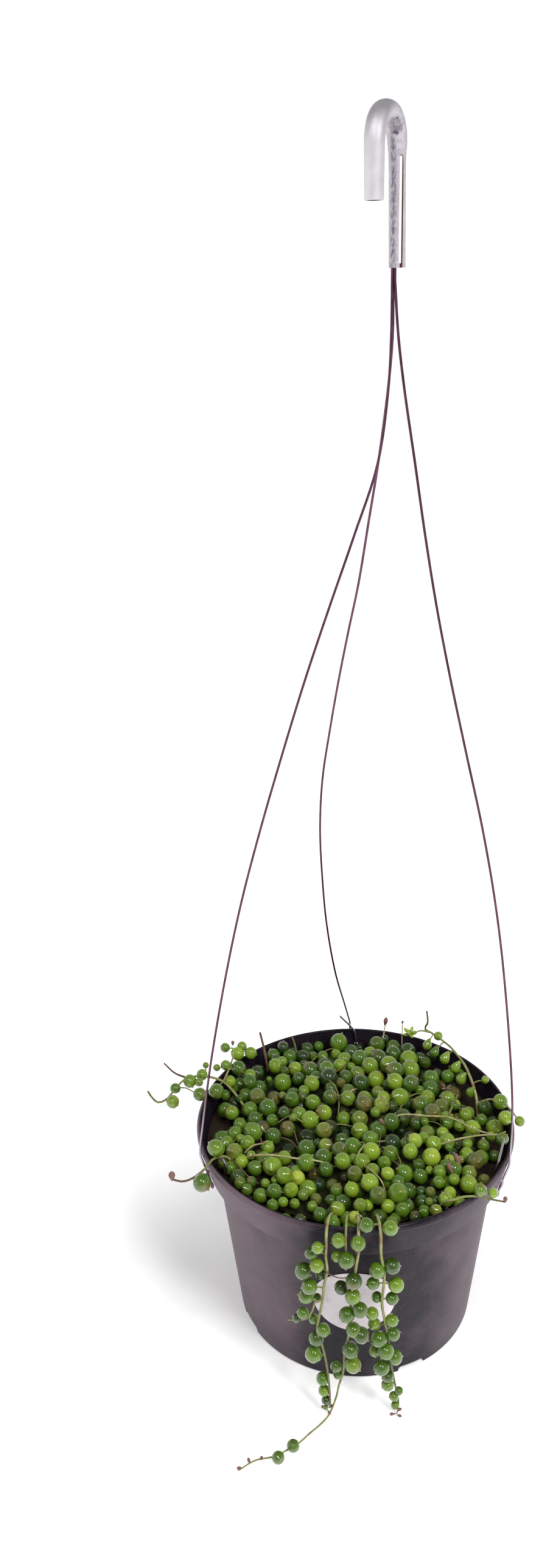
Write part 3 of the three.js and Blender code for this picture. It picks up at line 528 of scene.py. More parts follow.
BORE, BUNDLE_BORE = 2.5, 1.3  # radii of the open end's bore and of the hole for the wires
SLIT_OFF, SLIT_HEIGHT, SLIT_HEADING = 0.95, 19.0, 263.8  # the gap in the web: across, up and its turn
lobe_middle = LEG + hook_across * LOBE


def up(z):
    return Vector((0, 0, z))


def curve_point(x0, x1, x2, x3, t):
    """Point at t from x1 to x2 on the centripetal curve through four points."""
    d0, d1, d2 = [max((b - a).length, 1e-9) ** 0.5 for a, b in ((x0, x1), (x1, x2), (x2, x3))]
    t1 = ((x1 - x0) / d0 - (x2 - x0) / (d0 + d1) + (x2 - x1) / d1) * d1
    t2 = ((x2 - x1) / d1 - (x3 - x1) / (d1 + d2) + (x3 - x2) / d2) * d1
    return x1 + t1 * t + (3 * (x2 - x1) - 2 * t1 - t2) * t ** 2 + (2 * (x1 - x2) + t1 + t2) * t ** 3


def crimp_outline():
    """Corners of the crimped leg's section: across, and outwards."""
    def arc(middle, radius, angles):
        return [Vector((middle + radius * math.cos(math.radians(a)), radius * math.sin(math.radians(a)), 0))
                for a in angles]
    corners = arc(FOLD, FOLD_RADIUS, [-20, 40, 100, 150]) + [Vector((1.3, 0.2, 0)), Vector((0.75, 0.2, 0))]
    corners += arc(LOBE, LOBE_RADIUS, [35, 75, 115, 155, 195, 235, 275, 315])
    corners += [Vector((0.85, -0.8, 0)), Vector((1.4, -0.8, 0))]
    corners += arc(FOLD, FOLD_RADIUS, [-120, -70])
    n = len(corners)
    return [curve_point(corners[i - 1], corners[i], corners[(i + 1) % n], corners[(i + 2) % n], k / 4)
            for i in range(n) for k in range(4)]


crimp = crimp_outline()


def tube_ring(middle, outward, crimped, oval=0.0, dent=0.0, swing=0.0):
    """One section: round or crimped, flattened by `oval`, and dented on the inner side of the bend."""
    ring = []
    for i, flat in enumerate(crimp):
        angle = math.tau * (i / len(crimp) - 0.04)
        across = TUBE * (1.02 + oval) * math.cos(angle) * (1 - crimped) + flat.x * crimped
        out = TUBE * (1 - 0.9 * oval) * math.sin(angle) * (1 - crimped) + flat.y * crimped
        out += dent * max(0, -math.sin(angle)) ** 2 * (1 + 0.9 * math.sin(2 * angle + swing))
        ring.append(middle + hook_across * across + outward * out)
    return ring


short_leg = LEG + hook_out * 2 * BEND
rings = [tube_ring(short_leg + up(SHORT_END + rise), hook_out, 0, 0.0045 * rise)
         for rise in [0, 0.3, 1, 4, 9, 13, BEND_HEIGHT - SHORT_END]]
for i in range(1, BEND_STEPS):
    turn = math.pi * i / BEND_STEPS
    outward = hook_out * math.cos(turn) + up(math.sin(turn))
    middle = LEG + hook_out * BEND * (1 + math.cos(turn)) + up(BEND_HEIGHT + 12.3 * math.sin(turn))
    middle -= hook_across * BEND_LEAN * (i / BEND_STEPS) ** 2
    crimped = 0.32 * max(0, (i - CRIMP_START) / (BEND_STEPS - CRIMP_START)) ** 2
    flattened = 0.075 + 0.09 * math.sin(turn)
    puckers = 0.35 * math.sin(turn * 19) * max(0, math.sin(turn - 0.5)) ** 2
    puckers += 1.0 * math.exp(-((turn - 2.42) / 0.13) ** 2) + 0.8 * math.exp(-((turn - 1.98) / 0.12) ** 2)
    rings.append(tube_ring(middle, outward, crimped, flattened, puckers, 3.8))
leg_stations = [(BEND_HEIGHT, 0.34), (517.5, 0.48), (516, 0.65), (514, 0.83), (511.5, 0.95), (509, 1),
                (498, 1), (490, 1), (485, 1), (LONG_END + 0.6, 1), (LONG_END + 0.2, 0.98), (LONG_END, 0.95)]
for z, crimped in leg_stations:
    rings.append(tube_ring(LEG + up(z) - hook_across * LEG_LEAN * (z - LONG_END), -hook_out, crimped))
n = len(crimp)
faces = [(i * n + j, i * n + (j + 1) % n, (i + 1) * n + (j + 1) % n, (i + 1) * n + j)
         for i in range(len(rings) - 1) for j in range(n)]
faces += [tuple(reversed(range(n))), tuple(range(len(rings) * n - n, len(rings) * n))]
hook_mesh = faced_out(new_mesh("hook", [p for ring in rings for p in ring], [], faces))
slit_place = LEG + hook_across * SLIT_OFF + up(LONG_END + SLIT_HEIGHT)
slit_turn = Matrix.Rotation(math.radians(SLIT_HEADING), 4, "Z")
web_slit = cutter(bmesh.ops.create_cube, size=MM, matrix=Matrix.Translation(slit_place * MM)
                  @ slit_turn @ Matrix.Diagonal((9, 0.85, 35, 1)))
hook_mesh = cut(hook_mesh, [
    drill(BORE, 28, short_leg + up(SHORT_END), (0, 0, 1), 40),
    drill(BUNDLE_BORE, 26, lobe_middle + up(LONG_END), (0, 0, 1), 24), web_slit])

# Drawn aluminium tube, brushed lengthwise as it came off the coil: pale satin grey. The crimped leg's
# middle and the dents of the creased bend are painted mottled purple-grey, painted shade, and the web has a
# rusty edge.
# The brushing, 0.6 mm, is drawn coarser than it is, so that it shows.
aluminium, add = blank_material("drawn aluminium tube")
place = add("TexCoord").outputs["Object"]
turn_back = Matrix.Rotation(-math.radians(HOOK_HEADING), 3, "Z")
on_leg = add("Mapping", {
    "Vector": place, "Location": turn_back @ -LEG * MM, "Rotation": (0, 0, -math.radians(HOOK_HEADING))})
leg_axes = add("SeparateXYZ", [on_leg])  # out, across and up
stretch = add("Mapping", {"Vector": on_leg, "Scale": (1, 1, 0.05)})
lines = add("TexNoise", {"Vector": stretch, "Scale": 1700, "Detail": 3})
blotch = add("TexNoise", {"Vector": place, "Scale": 240, "Detail": 4})
long_pits = add("Mapping", {"Vector": on_leg, "Scale": (1, 1, 0.35)})
pits = add("TexNoise", {"Vector": long_pits, "Scale": 1500, "Detail": 3, "Roughness": 0.75})
crumple = add("TexNoise", {"Vector": place, "Scale": 420, "Detail": 3, "Roughness": 0.6})
crumpled = add("VectorMath", [crumple.outputs[1], (0.006, 0.006, 0.006), on_leg], operation="MULTIPLY_ADD")
crumpled = add("VectorMath", [crumpled, (-0.003, -0.003, -0.003)])
near_leg = add("MapRange", [leg_axes.outputs[0], 0.003, 0.006, 1, 0])
off_band = add("Math", [leg_axes.outputs[1], 0.0012], operation="ADD")
off_band = add("Math", [off_band], operation="ABSOLUTE")
# Painted shade down the middle of the crimped leg's lobe, mottled by the pits.
leg_band_shade = add("MapRange", [off_band, 0.0003, 0.0015, 0.75, 0.22])
painted_dent_shade = add("Math", [near_leg, leg_band_shade], operation="MULTIPLY")
# Painted shade in the creases and dents of the bend: place, radius of the core, radius of the edge, depth.
for spot, core, edge, depth in [((0.0093, 0.0017, 0.5279), 0.0008, 0.0022, 1.5),
                                ((0.0058, 0.0009, 0.5252), 0.0009, 0.0024, 1.6),
                                ((0.0076, 0.0013, 0.5266), 0.002, 0.005, 0.6),
                                ((0.0101, 0.0032, 0.532), 0.0005, 0.0018, 0.8)]:
    off_spot = add("VectorMath", [crumpled, spot], operation="DISTANCE")
    crease = add("MapRange", [off_spot, core, edge, depth, 0])
    painted_dent_shade = add("Math", [painted_dent_shade, crease], operation="MAXIMUM")
speckle = add("MapRange", [pits, 0.33, 0.64, 0.25, 1.3])
painted_dent_shade = add("Math", [painted_dent_shade, speckle], operation="MULTIPLY")
# Painted shade: the tube is painted greyer towards the top of the bend, for the dim ceiling it mirrors.
painted_top_shade = add("MapRange", [leg_axes.outputs[2], 0.512, 0.531, 0.1, 0.45])
below = add("MapRange", [leg_axes.outputs[2], 0.5175, 0.5185, 1, 0])
to_edge = add("Math", [leg_axes.outputs[1], 0.00168], operation="SUBTRACT")
to_edge = add("Math", [to_edge], operation="ABSOLUTE")
edging = add("MapRange", [to_edge, 0.0004, 0.0006, 1, 0])
for only in (near_leg, below):
    edging = add("Math", [edging, only], operation="MULTIPLY")
# Painted shade: the inside of the open end's bore is painted near black.
level = add("VectorMath", [on_leg, (1, 1, 0)], operation="MULTIPLY")
off_bore = add("VectorMath", [level, (2 * BEND * MM, 0, 0)], operation="DISTANCE")
bore = add("MapRange", [off_bore, 0.00255, 0.00275, 0.9, 0])
bore = add("Math", [bore, below], operation="MULTIPLY")
metal = add("Mix", [blotch, "cbc7cc", "e6e3e6"], data_type="RGBA")
for cover, code in [(painted_top_shade, "a9a5ae"), (painted_dent_shade, "6e6076"), (edging, "5c3a2e"), (bore, "2c2228")]:
    metal = add("Mix", [cover, metal, code], data_type="RGBA")
shine = add("MapRange", [blotch, 0, 1, 0.5, 0.64])
bump = add("Bump", {"Strength": 0.6, "Distance": 0.00012, "Height": lines})
dented = add("Math", [painted_dent_shade, pits], operation="MULTIPLY")
dents = add("Bump", {"Strength": 0.8, "Distance": 0.0006, "Height": dented, "Normal": bump})
surface = add("BsdfPrincipled", {"Base Color": metal, "Metallic": 1, "Roughness": shine, "Normal": dents})
add("OutputMaterial", [surface])
hook = smooth_piece("tube_hook", hook_mesh, 40, aluminium)
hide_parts("hook")
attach(hook, "root")

# ---------------------------------------------------------------- wires
# Galvanised wire. Each runs from the crimp down to the rim, turns a hairpin below the collar, goes in
# through its hole, and ends in a short free tail inside. The left one's tail was pressed over.
WIRE, ROUND = 0.45, 1.16  # half the width of the solids' square bar, and the round wire's radius over it
# Each wire: where it lies in the crimp, in degrees, and the places that it runs through.
wire_runs = [
    ("wire_left", 210, [
        (13.6, -0.2, 458), (12.6, -0.8, 439), (8.7, -1.8, 412), (-0.6, -4.3, 385), (-10.8, -7, 357),
        (-21, -9.7, 328), (-31, -12.4, 297), (-40.5, -14.9, 266), (-49.7, -17.3, 233), (-57.8, -19.5, 198),
        (-66.5, -21.8, 153), (-70.8, -22.9, 125)]),
    ("wire_back", 90, [
        (14.3, 1.8, 458), (13, 3.9, 439), (9.9, 8.4, 411), (6.9, 14.3, 388), (3.3, 22.2, 360),
        (-0.6, 29.3, 337), (-4.4, 36.6, 313), (-8, 44.4, 287), (-11.2, 52.4, 260), (-12.3, 59.8, 231),
        (-11.2, 65.9, 201), (-8.9, 70.8, 171), (-4.2, 75.2, 139), (0.4, 76.8, 120)]),
    ("wire_right", 330, [
        (16.2, -0.7, 458), (18.6, -2.2, 439), (22.8, -5, 412), (26.9, -7.9, 385), (31.7, -11.2, 357),
        (37.5, -15.3, 328), (44.1, -19.8, 298), (51, -24.6, 267), (56.9, -28.7, 235), (61.5, -32, 202),
        (66.4, -35.4, 154), (67.9, -36.4, 130)]),
]



def smooth_path(corners, step):
    """Evenly spaced points, about `step` apart, on the centripetal curve through the corners."""
    points = [Vector(c) for c in corners]
    points = [2 * points[0] - points[1]] + points + [2 * points[-1] - points[-2]]
    fine = [curve_point(*points[i - 1:i + 3], k / 30) for i in range(1, len(points) - 2) for k in range(30)]
    fine.append(points[-2])
    reached = [0.0]
    for a, b in zip(fine, fine[1:]):
        reached.append(reached[-1] + (b - a).length)
    count = max(2, round(reached[-1] / step))
    spaced, i = [], 0
    for k in range(count + 1):
        target = reached[-1] * k / count
        while i < len(fine) - 2 and reached[i + 1] < target:
            i += 1
        part = (target - reached[i]) / max(reached[i + 1] - reached[i], 1e-9)
        spaced.append(fine[i].lerp(fine[i + 1], min(1, part)))
    return spaced


def wire_points(angle, turn, lean, bundle_angle, run):
    """From the crimp down the run, round the hairpin and in through the hole, to the tail's tip."""
    def beside(distance, radius, z):
        return around(angle + turn * as_angle(distance), radius, z)

    def face(z):
        return collar_radius(z) + WIRE + 0.57
    far, hole = 2 * HAIRPIN, collar_radius(HOLE_HEIGHT)
    bundled = around(bundle_angle, 0.6, 0) + lobe_middle
    upper = [bundled + up(LONG_END - 4), *run, beside(0, face(HEIGHT), HEIGHT + 3)]
    lower = [beside(*point) for point in [
        (0, face(HEIGHT), HEIGHT + 3), (0, face(HEIGHT), HEIGHT - 1), (0, face(HOLE_HEIGHT), HOLE_HEIGHT),
        (0, face(STEP), STEP + 0.5), (0.3 * HAIRPIN, face(STEP), STEP - 1.1),
        (HAIRPIN, face(STEP), STEP - 1.8), (1.7 * HAIRPIN, face(STEP), STEP - 1.1),
        (far, face(STEP), STEP + 0.5), (far, face(HOLE_HEIGHT) + 0.2, HOLE_HEIGHT - 1.2),
        (far, hole - WALL / 2, HOLE_HEIGHT), (far, hole - WALL - 1.6, HOLE_HEIGHT + 0.8)]]
    if lean:
        lower += [beside(far - 1, RIM - LIP - 1.7, HEIGHT),
                  beside(far - lean, RIM - LIP - 1.2, HOLE_HEIGHT + 17.5)]
    else:
        lower += [Vector(p) for p in [(-67.4, -25.4, 101.5), (-65.8, -25.6, 104.3), (-63.2, -27.2, 104.6),
                                      (-61.6, -28.9, 102.5), (-61.2, -29.8, 99.5)]]
    return [bundled + up(LONG_END + 11.5), *smooth_path(upper, 5), *smooth_path(lower, 0.5)[1:]]


drawn_wire, given, add = new_tree("wire along its path", {
    "Wire radius": ("NodeSocketFloat", ROUND * WIRE * MM), "Wire sides": ("NodeSocketInt", 12),
    "Finish": ("NodeSocketMaterial", None)})
line = add("GeometryNodeMeshToCurve", [given["Geometry"]])
section = add("GeometryNodeCurvePrimitiveCircle", {
    "Resolution": given["Wire sides"], "Radius": given["Wire radius"]})
bar = add("GeometryNodeCurveToMesh", {"Curve": line, "Profile Curve": section, "Fill Caps": True})
soft = add("GeometryNodeSetShadeSmooth", [bar])
real = add("GeometryNodeRealizeInstances", [soft])
done = add("GeometryNodeSetMaterial", {"Geometry": real, "Material": given["Finish"]})
add("NodeGroupOutput", [done])

# Galvanised steel, drawn and weathered indoors: dull grey with a lavender tone and small darker
# spots, which reads dark against a white wall. Low down it is painted paler, a painted highlight, but not
# on the left hairpin.
zinc_wire, add = blank_material("galvanised steel wire")
place = add("TexCoord").outputs["Object"]
spots = add("TexNoise", {"Vector": place, "Scale": 260, "Detail": 4})
metal = add("Mix", [spots, "40222f", "7a556b"], data_type="RGBA")
height = add("SeparateXYZ", [place])
# Painted highlight: below about 110 mm the wire is painted paler, fading out by 140 mm.
wear_and_painted_highlight = add("MapRange", [height.outputs[2], 0.11, 0.14, 0.85, 0])
on_right = add("Math", [height.outputs[0], 0], operation="GREATER_THAN")
clear = add("MapRange", [height.outputs[2], 0.098, 0.102])
clear = add("Math", [clear, on_right], operation="MAXIMUM")
wear_and_painted_highlight = add("Math", [wear_and_painted_highlight, clear], operation="MULTIPLY")
metal = add("Mix", [wear_and_painted_highlight, metal, "b9b0be"], data_type="RGBA")
shine = add("MapRange", [spots, 0, 1, 0.26, 0.42])
bump = add("Bump", {"Strength": 0.3, "Distance": 0.00005, "Height": spots})
surface = add("BsdfPrincipled", {"Base Color": metal, "Metallic": 1, "Roughness": shine, "Normal": bump})
add("OutputMaterial", [surface])
for (name, bundle_angle, run), (angle, turn), lean in zip(wire_runs, WIRE_ANGLES, TAIL_LEANS):
    points = wire_points(angle, turn, lean, bundle_angle, run)
    path = new_mesh(name, points, [(i, i + 1) for i in range(len(points) - 1)], [])
    wire = grown("hanger_" + name, path, drawn_wire, Finish=zinc_wire)
    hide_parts(name)
    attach(wire, "root")

# ---------------------------------------------------------------- leaves and stems
# Each stem carries round leaves full of water, 5 to 9 mm across, with a small dry point and a
# slit of clear skin down one side. Some hang as drops. Dead flower buds are slim and brown.
leafy_growth, given, add = new_tree("leafy growth", {
    "Leaf sides": ("NodeSocketInt", 12), "Leaf rings": ("NodeSocketInt", 10),
    "Point length": ("NodeSocketFloat", 0.14), "Stem sides": ("NodeSocketInt", 6),
    "Spin seed": ("NodeSocketInt", 21),
    "Leaf finish": ("NodeSocketMaterial", None), "Stem finish": ("NodeSocketMaterial", None)})
is_leaf = add("GeometryNodeInputNamedAttribute", {"Name": "is_leaf"}, data_type="BOOLEAN")
is_drop = add("GeometryNodeInputNamedAttribute", {"Name": "is_drop"}, data_type="BOOLEAN")
parted = add("GeometryNodeSeparateGeometry", {"Geometry": given["Geometry"], "Selection": is_leaf})
thickness = add("GeometryNodeInputNamedAttribute", {"Name": "thickness"}, data_type="FLOAT")
line = add("GeometryNodeMeshToCurve", [parted.outputs[1]])
section = add("GeometryNodeCurvePrimitiveCircle", {"Resolution": given["Stem sides"], "Radius": 1})
stalks = add("GeometryNodeCurveToMesh", {
    "Curve": line, "Profile Curve": section, "Scale": thickness, "Fill Caps": True})
woody = add("GeometryNodeStoreNamedAttribute", {
    "Geometry": stalks, "Name": "woody", "Value": True}, data_type="BOOLEAN", domain="FACE")
globe = add("GeometryNodeMeshUVSphere", {
    "Segments": given["Leaf sides"], "Rings": given["Leaf rings"], "Radius": 1})
spot = add("GeometryNodeInputPosition")
marked = add("GeometryNodeStoreNamedAttribute", {
    "Geometry": globe, "Name": "leaf_place", "Value": spot}, data_type="FLOAT_VECTOR", domain="POINT")
axes = add("SeparateXYZ", [spot])
pinch = add("MapRange", [axes.outputs[2], 0.85, 0.951, 1, 0.42])
ease = add("MapRange", [axes.outputs[2], 0.85, 0.951, 0, 0.04])
point = add("MapRange", [axes.outputs[2], 0.955, 1, 0, given["Point length"]])
tall = add("Math", [axes.outputs[2], ease], operation="ADD")
tall = add("Math", [tall, point], operation="ADD")
wide = add("Math", [axes.outputs[0], pinch], operation="MULTIPLY")
deep = add("Math", [axes.outputs[1], pinch], operation="MULTIPLY")
pearl_place = add("CombineXYZ", [wide, deep, tall])
pearl = add("GeometryNodeSetPosition", {"Geometry": marked, "Position": pearl_place})
slim = add("MapRange", [axes.outputs[2], -1, 0.35, 0.3, 1])
shaped = add("VectorMath", [pearl_place, slim], operation="SCALE")
shaped_axes = add("SeparateXYZ", [shaped])
longer = add("Math", [tall, 1.22], operation="MULTIPLY")
drop_place = add("CombineXYZ", [shaped_axes.outputs[0], shaped_axes.outputs[1], longer])
drop = add("GeometryNodeSetPosition", {"Geometry": marked, "Position": drop_place})
pointing = add("GeometryNodeInputNamedAttribute", {"Name": "pointing"}, data_type="FLOAT_VECTOR")
girth = add("GeometryNodeInputNamedAttribute", {"Name": "girth"}, data_type="FLOAT_VECTOR")
spin = add("FunctionNodeRandomValue", {2: 0, 3: math.tau, "Seed": given["Spin seed"]}, data_type="FLOAT")
spun = add("FunctionNodeAxisAngleToRotation", {"Axis": (0, 0, 1), "Angle": spin})
aimed = add("FunctionNodeAlignRotationToVector", {"Vector": pointing}, axis="Z")
turned_leaf = add("FunctionNodeRotateRotation", {
    "Rotation": aimed, "Rotate By": spun}, rotation_space="LOCAL")
not_drop = add("FunctionNodeBooleanMath", [is_drop], operation="NOT")
crowd = [woody]
for kind, chosen in ((pearl, not_drop), (drop, is_drop)):
    crowd.append(add("GeometryNodeInstanceOnPoints", {
        "Points": parted.outputs[0], "Selection": chosen, "Instance": kind, "Rotation": turned_leaf,
        "Scale": girth}))
together = add("GeometryNodeJoinGeometry", [crowd])
real = add("GeometryNodeRealizeInstances", [together])
soft = add("GeometryNodeSetShadeSmooth", [real])
leafed = add("GeometryNodeSetMaterial", {"Geometry": soft, "Material": given["Leaf finish"]})
is_woody = add("GeometryNodeInputNamedAttribute", {"Name": "woody"}, data_type="BOOLEAN")
done = add("GeometryNodeSetMaterial", {
    "Geometry": leafed, "Selection": is_woody, "Material": given["Stem finish"]})
add("NodeGroupOutput", [done])

# Waxy leaf skin over clear watery flesh: light goes in and comes out, so the rims glow paler and
# the wax gives a small sharp glint. Olive to fresh green, browned on top where the sun reaches it.
leaf_skin, add = blank_material("waxy succulent leaf")
place = add("TexCoord").outputs["Object"]
shade = add("Attribute", attribute_name="shade")
blush = add("Attribute", attribute_name="blush")
leaf_place = add("Attribute", attribute_name="leaf_place")
axes = add("SeparateXYZ", [leaf_place.outputs["Vector"]])
mottle = add("TexNoise", {"Vector": place, "Scale": 240, "Detail": 3})
lively = add("Math", [mottle, 0.3, -0.15], operation="MULTIPLY_ADD")
lively = add("Math", [shade.outputs["Fac"], lively], operation="ADD")
skin = add("ValToRGB", [lively], stops={0: "1e320a", 0.35: "476710", 0.7: "7c9622", 1: "b2b648"})
upper = add("MapRange", [axes.outputs[2], 0.1, 0.85])
browned = add("Math", [upper, blush.outputs["Fac"]], operation="MULTIPLY")
dry = add("MapRange", [axes.outputs[2], 0.955, 0.995, 0, 0.85])
side = add("Math", [axes.outputs[0]], operation="ABSOLUTE")
slit = add("MapRange", [side, 0.03, 0.12, 0.55, 0])
front = add("Math", [axes.outputs[1], 0.1], operation="GREATER_THAN")
slit = add("Math", [slit, front], operation="MULTIPLY")
shine = add("MapRange", [mottle, 0, 1, 0.3, 0.5])
withered = add("MapRange", [blush.outputs["Fac"], 1.2, 1.8])
for cover, code in [(browned, "6c5f30"), (dry, "b59a62"), (slit, "34501f"), (withered, "7b5a55")]:
    skin = add("Mix", [cover, skin, code], data_type="RGBA")
# Painted shade: a shade below zero, deep in the mat, darkens the colour and thins the wax coat.
painted_depth_shade = add("MapRange", [shade.outputs["Fac"], -0.8, 0.05, 0.1, 1])
skin = add("VectorMath", [skin, painted_depth_shade], operation="SCALE")
wax = add("Math", [painted_depth_shade, withered], operation="SUBTRACT")
bump = add("Bump", {"Strength": 0.12, "Distance": 0.0003, "Height": mottle})
surface = add("BsdfPrincipled", {
    "Base Color": skin, "Roughness": shine, "IOR": 1.42, "Normal": bump, "Specular IOR Level": 0.3,
    "Subsurface Weight": 0.35, "Subsurface Radius": (0.6, 1.0, 0.2), "Subsurface Scale": 0.002,
    "Coat Weight": wax, "Coat Roughness": 0.07, "Coat IOR": 1.58, "Sheen Weight": 0.06,
    "Sheen Roughness": 0.3, "Sheen Tint": "dfe8c4"})
add("OutputMaterial", [surface])

# Stem skin: thin, corky where old, so pale olive-tan with brownish nodes every few millimetres.
stem_skin, add = blank_material("corky succulent stem")
place = add("TexCoord").outputs["Object"]
shade = add("Attribute", attribute_name="shade")
knots = add("TexNoise", {"Vector": place, "Scale": 330, "Detail": 4, "Roughness": 0.65})
tone = add("Math", [knots, 0.7, -0.35], operation="MULTIPLY_ADD")
tone = add("Math", [shade.outputs["Fac"], tone], operation="ADD")
rind = add("ValToRGB", [tone], stops={0: "5c4034", 0.3: "565b2c", 0.6: "81854c", 1: "b8ac86"})
nodes = add("TexNoise", {"Vector": place, "Scale": 210, "Detail": 1})
rusty = add("MapRange", [nodes, 0.58, 0.7, 0, 0.7])
rind = add("Mix", [rusty, rind, "7c5240"], data_type="RGBA")
bump = add("Bump", {"Strength": 0.5, "Distance": 0.0002, "Height": knots})
surface = add("BsdfPrincipled", {
    "Base Color": rind, "Roughness": 0.6, "Normal": bump, "Subsurface Weight": 0.1,
    "Subsurface Radius": (1.0, 0.8, 0.4), "Subsurface Scale": 0.0006})
add("OutputMaterial", [surface])


class Growth:
    """Leaves and stems of one plant piece, gathered in millimetres until it is made."""

    def __init__(self, seed):
        self.chance = random_source(seed)
        self.corners, self.lines, self.rows = [], [], []

    def stem(self, points, radius, shade, tip, fade=0.0):
        """A stem that thins towards `tip` times its radius and browns by `fade`."""
        first = len(self.corners)
        last = max(1, len(points) - 1)
        for i, p in enumerate(points):
            swell = 1 + 0.14 * (self.chance() - 0.5)
            thin = 1 + (tip - 1) * i / last
            self.corners.append(p)
            self.rows.append((False, False, up(1), Vector((1, 1, 1)),
                              radius * thin * swell, shade - fade * (i / last) ** 2, 0))
        self.lines += [(first + i, first + i + 1) for i in range(last)]

    def leaf(self, middle, radius, pointing, shade, blush=None, drop=False, stretch=1.0):
        chance = self.chance
        blush = max(0, 1.3 * chance() - 0.6) if blush is None else blush
        wide, deep = radius * (0.96 + 0.07 * chance()), radius * (0.96 + 0.07 * chance())
        self.corners.append(Vector(middle))
        girth = Vector((wide, deep, radius * stretch))
        self.rows.append((True, drop, Vector(pointing).normalized(), girth, 0, shade, blush))

    def withered(self, middle, radius, pointing, stretch=1.5):
        """A dead leaf or flower bud: slim, dry and pinkish brown."""
        self.leaf(middle, radius, pointing, 0.3 + 0.5 * self.chance(), blush=2, drop=True, stretch=stretch)

    def stalk(self, foot, middle, radius):
        """A short bowed leaf stalk from the stem to just inside the leaf."""
        reach = middle - foot
        end = middle - reach.normalized() * radius * 0.85
        bow = up(0.12 * reach.length)
        points = [foot.lerp(end, k / 4) + bow * math.sin(math.pi * k / 4) for k in range(5)]
        self.stem(points, 0.38, 0.45, tip=0.8)

    def made(self, name, node):
        mesh = new_mesh(name, self.corners, self.lines, [])
        kinds = [("is_leaf", "BOOLEAN"), ("is_drop", "BOOLEAN"), ("pointing", "FLOAT_VECTOR"),
                 ("girth", "FLOAT_VECTOR"), ("thickness", "FLOAT"), ("shade", "FLOAT"), ("blush", "FLOAT")]
        for column, (label, kind) in enumerate(kinds):
            scale = MM if label in ("girth", "thickness") else 1
            values = [row[column] for row in self.rows]
            attribute = mesh.attributes.new(label, kind, "POINT")
            if kind == "FLOAT_VECTOR":
                attribute.data.foreach_set("vector", [c * scale for v in values for c in v])
            else:
                attribute.data.foreach_set("value", [v * scale if scale != 1 else v for v in values])
        piece = grown(name, mesh, leafy_growth, Leaf_finish=leaf_skin, Stem_finish=stem_skin)
        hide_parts(node)
        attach(piece, "root")


def hang_leaf(growth, middle, radius, stems, droop=0.35, **look):
    """A leaf on its own stalk from the nearest stem, its point away from the stem and down."""
    middle = Vector(middle)
    foot = min(stems, key=lambda p: (p - middle).length)
    away = middle - foot
    if away.length < 0.3:
        away = up(1)
    if away.length > 0.6 * radius:
        growth.stalk(foot, middle, radius)
    growth.leaf(middle, radius, away.normalized() - up(droop), **look)


# ---------------------------------------------------------------- mat of pearls
# The top growth: short stems creep over the soil in all directions, and their leaves lie two to
# three deep, low at the wall and crowned towards the middle. It leaves a few bare patches.
MAT, MAT_DEPTH, MAT_RISE = 68.5, 5.6, 3.8  # its radius, its depth at the wall, and the rise to its middle
# Bare patches: middle and half widths.
bare_patches = [(-69, 8, 9, 13), (60, 22, 9, 12), (66, -14, 8, 9), (62, -34, 9, 9), (47, 44, 7, 6)]


def is_bare(x, y, grow=1.0):
    return any(math.hypot((x - cx) / (rx * grow), (y - cy) / (ry * grow)) < 1
               for cx, cy, rx, ry in bare_patches)


# Where it swells up or sinks in: x, y, rise, spread.
swell_list = [(12, 32, 2.2, 22), (-26, -20, -4.0, 15), (-18, -50, -2.6, 9), (22, -8, -2.6, 9),
              (4, -36, 1.2, 12), (-4, -2, -2.4, 13), (26, -44, -2, 8), (-40, 34, 1, 14)]


def crown(x, y):
    """Height of the upper leaves' middles before any swell: low at the wall, raised in the middle."""
    return SOIL_TOP + MAT_DEPTH + MAT_RISE * (1 - (math.hypot(x, y) / MAT) ** 3)


def mat_level(x, y):
    waves = 1.8 * math.sin(x / 6.4 + 0.6) * math.cos(y / 7 - 0.4)
    swells = sum(rise * math.exp(-((x - cx) ** 2 + (y - cy) ** 2) / spread ** 2)
                 for cx, cy, rise, spread in swell_list)
    return crown(x, y) + waves + swells


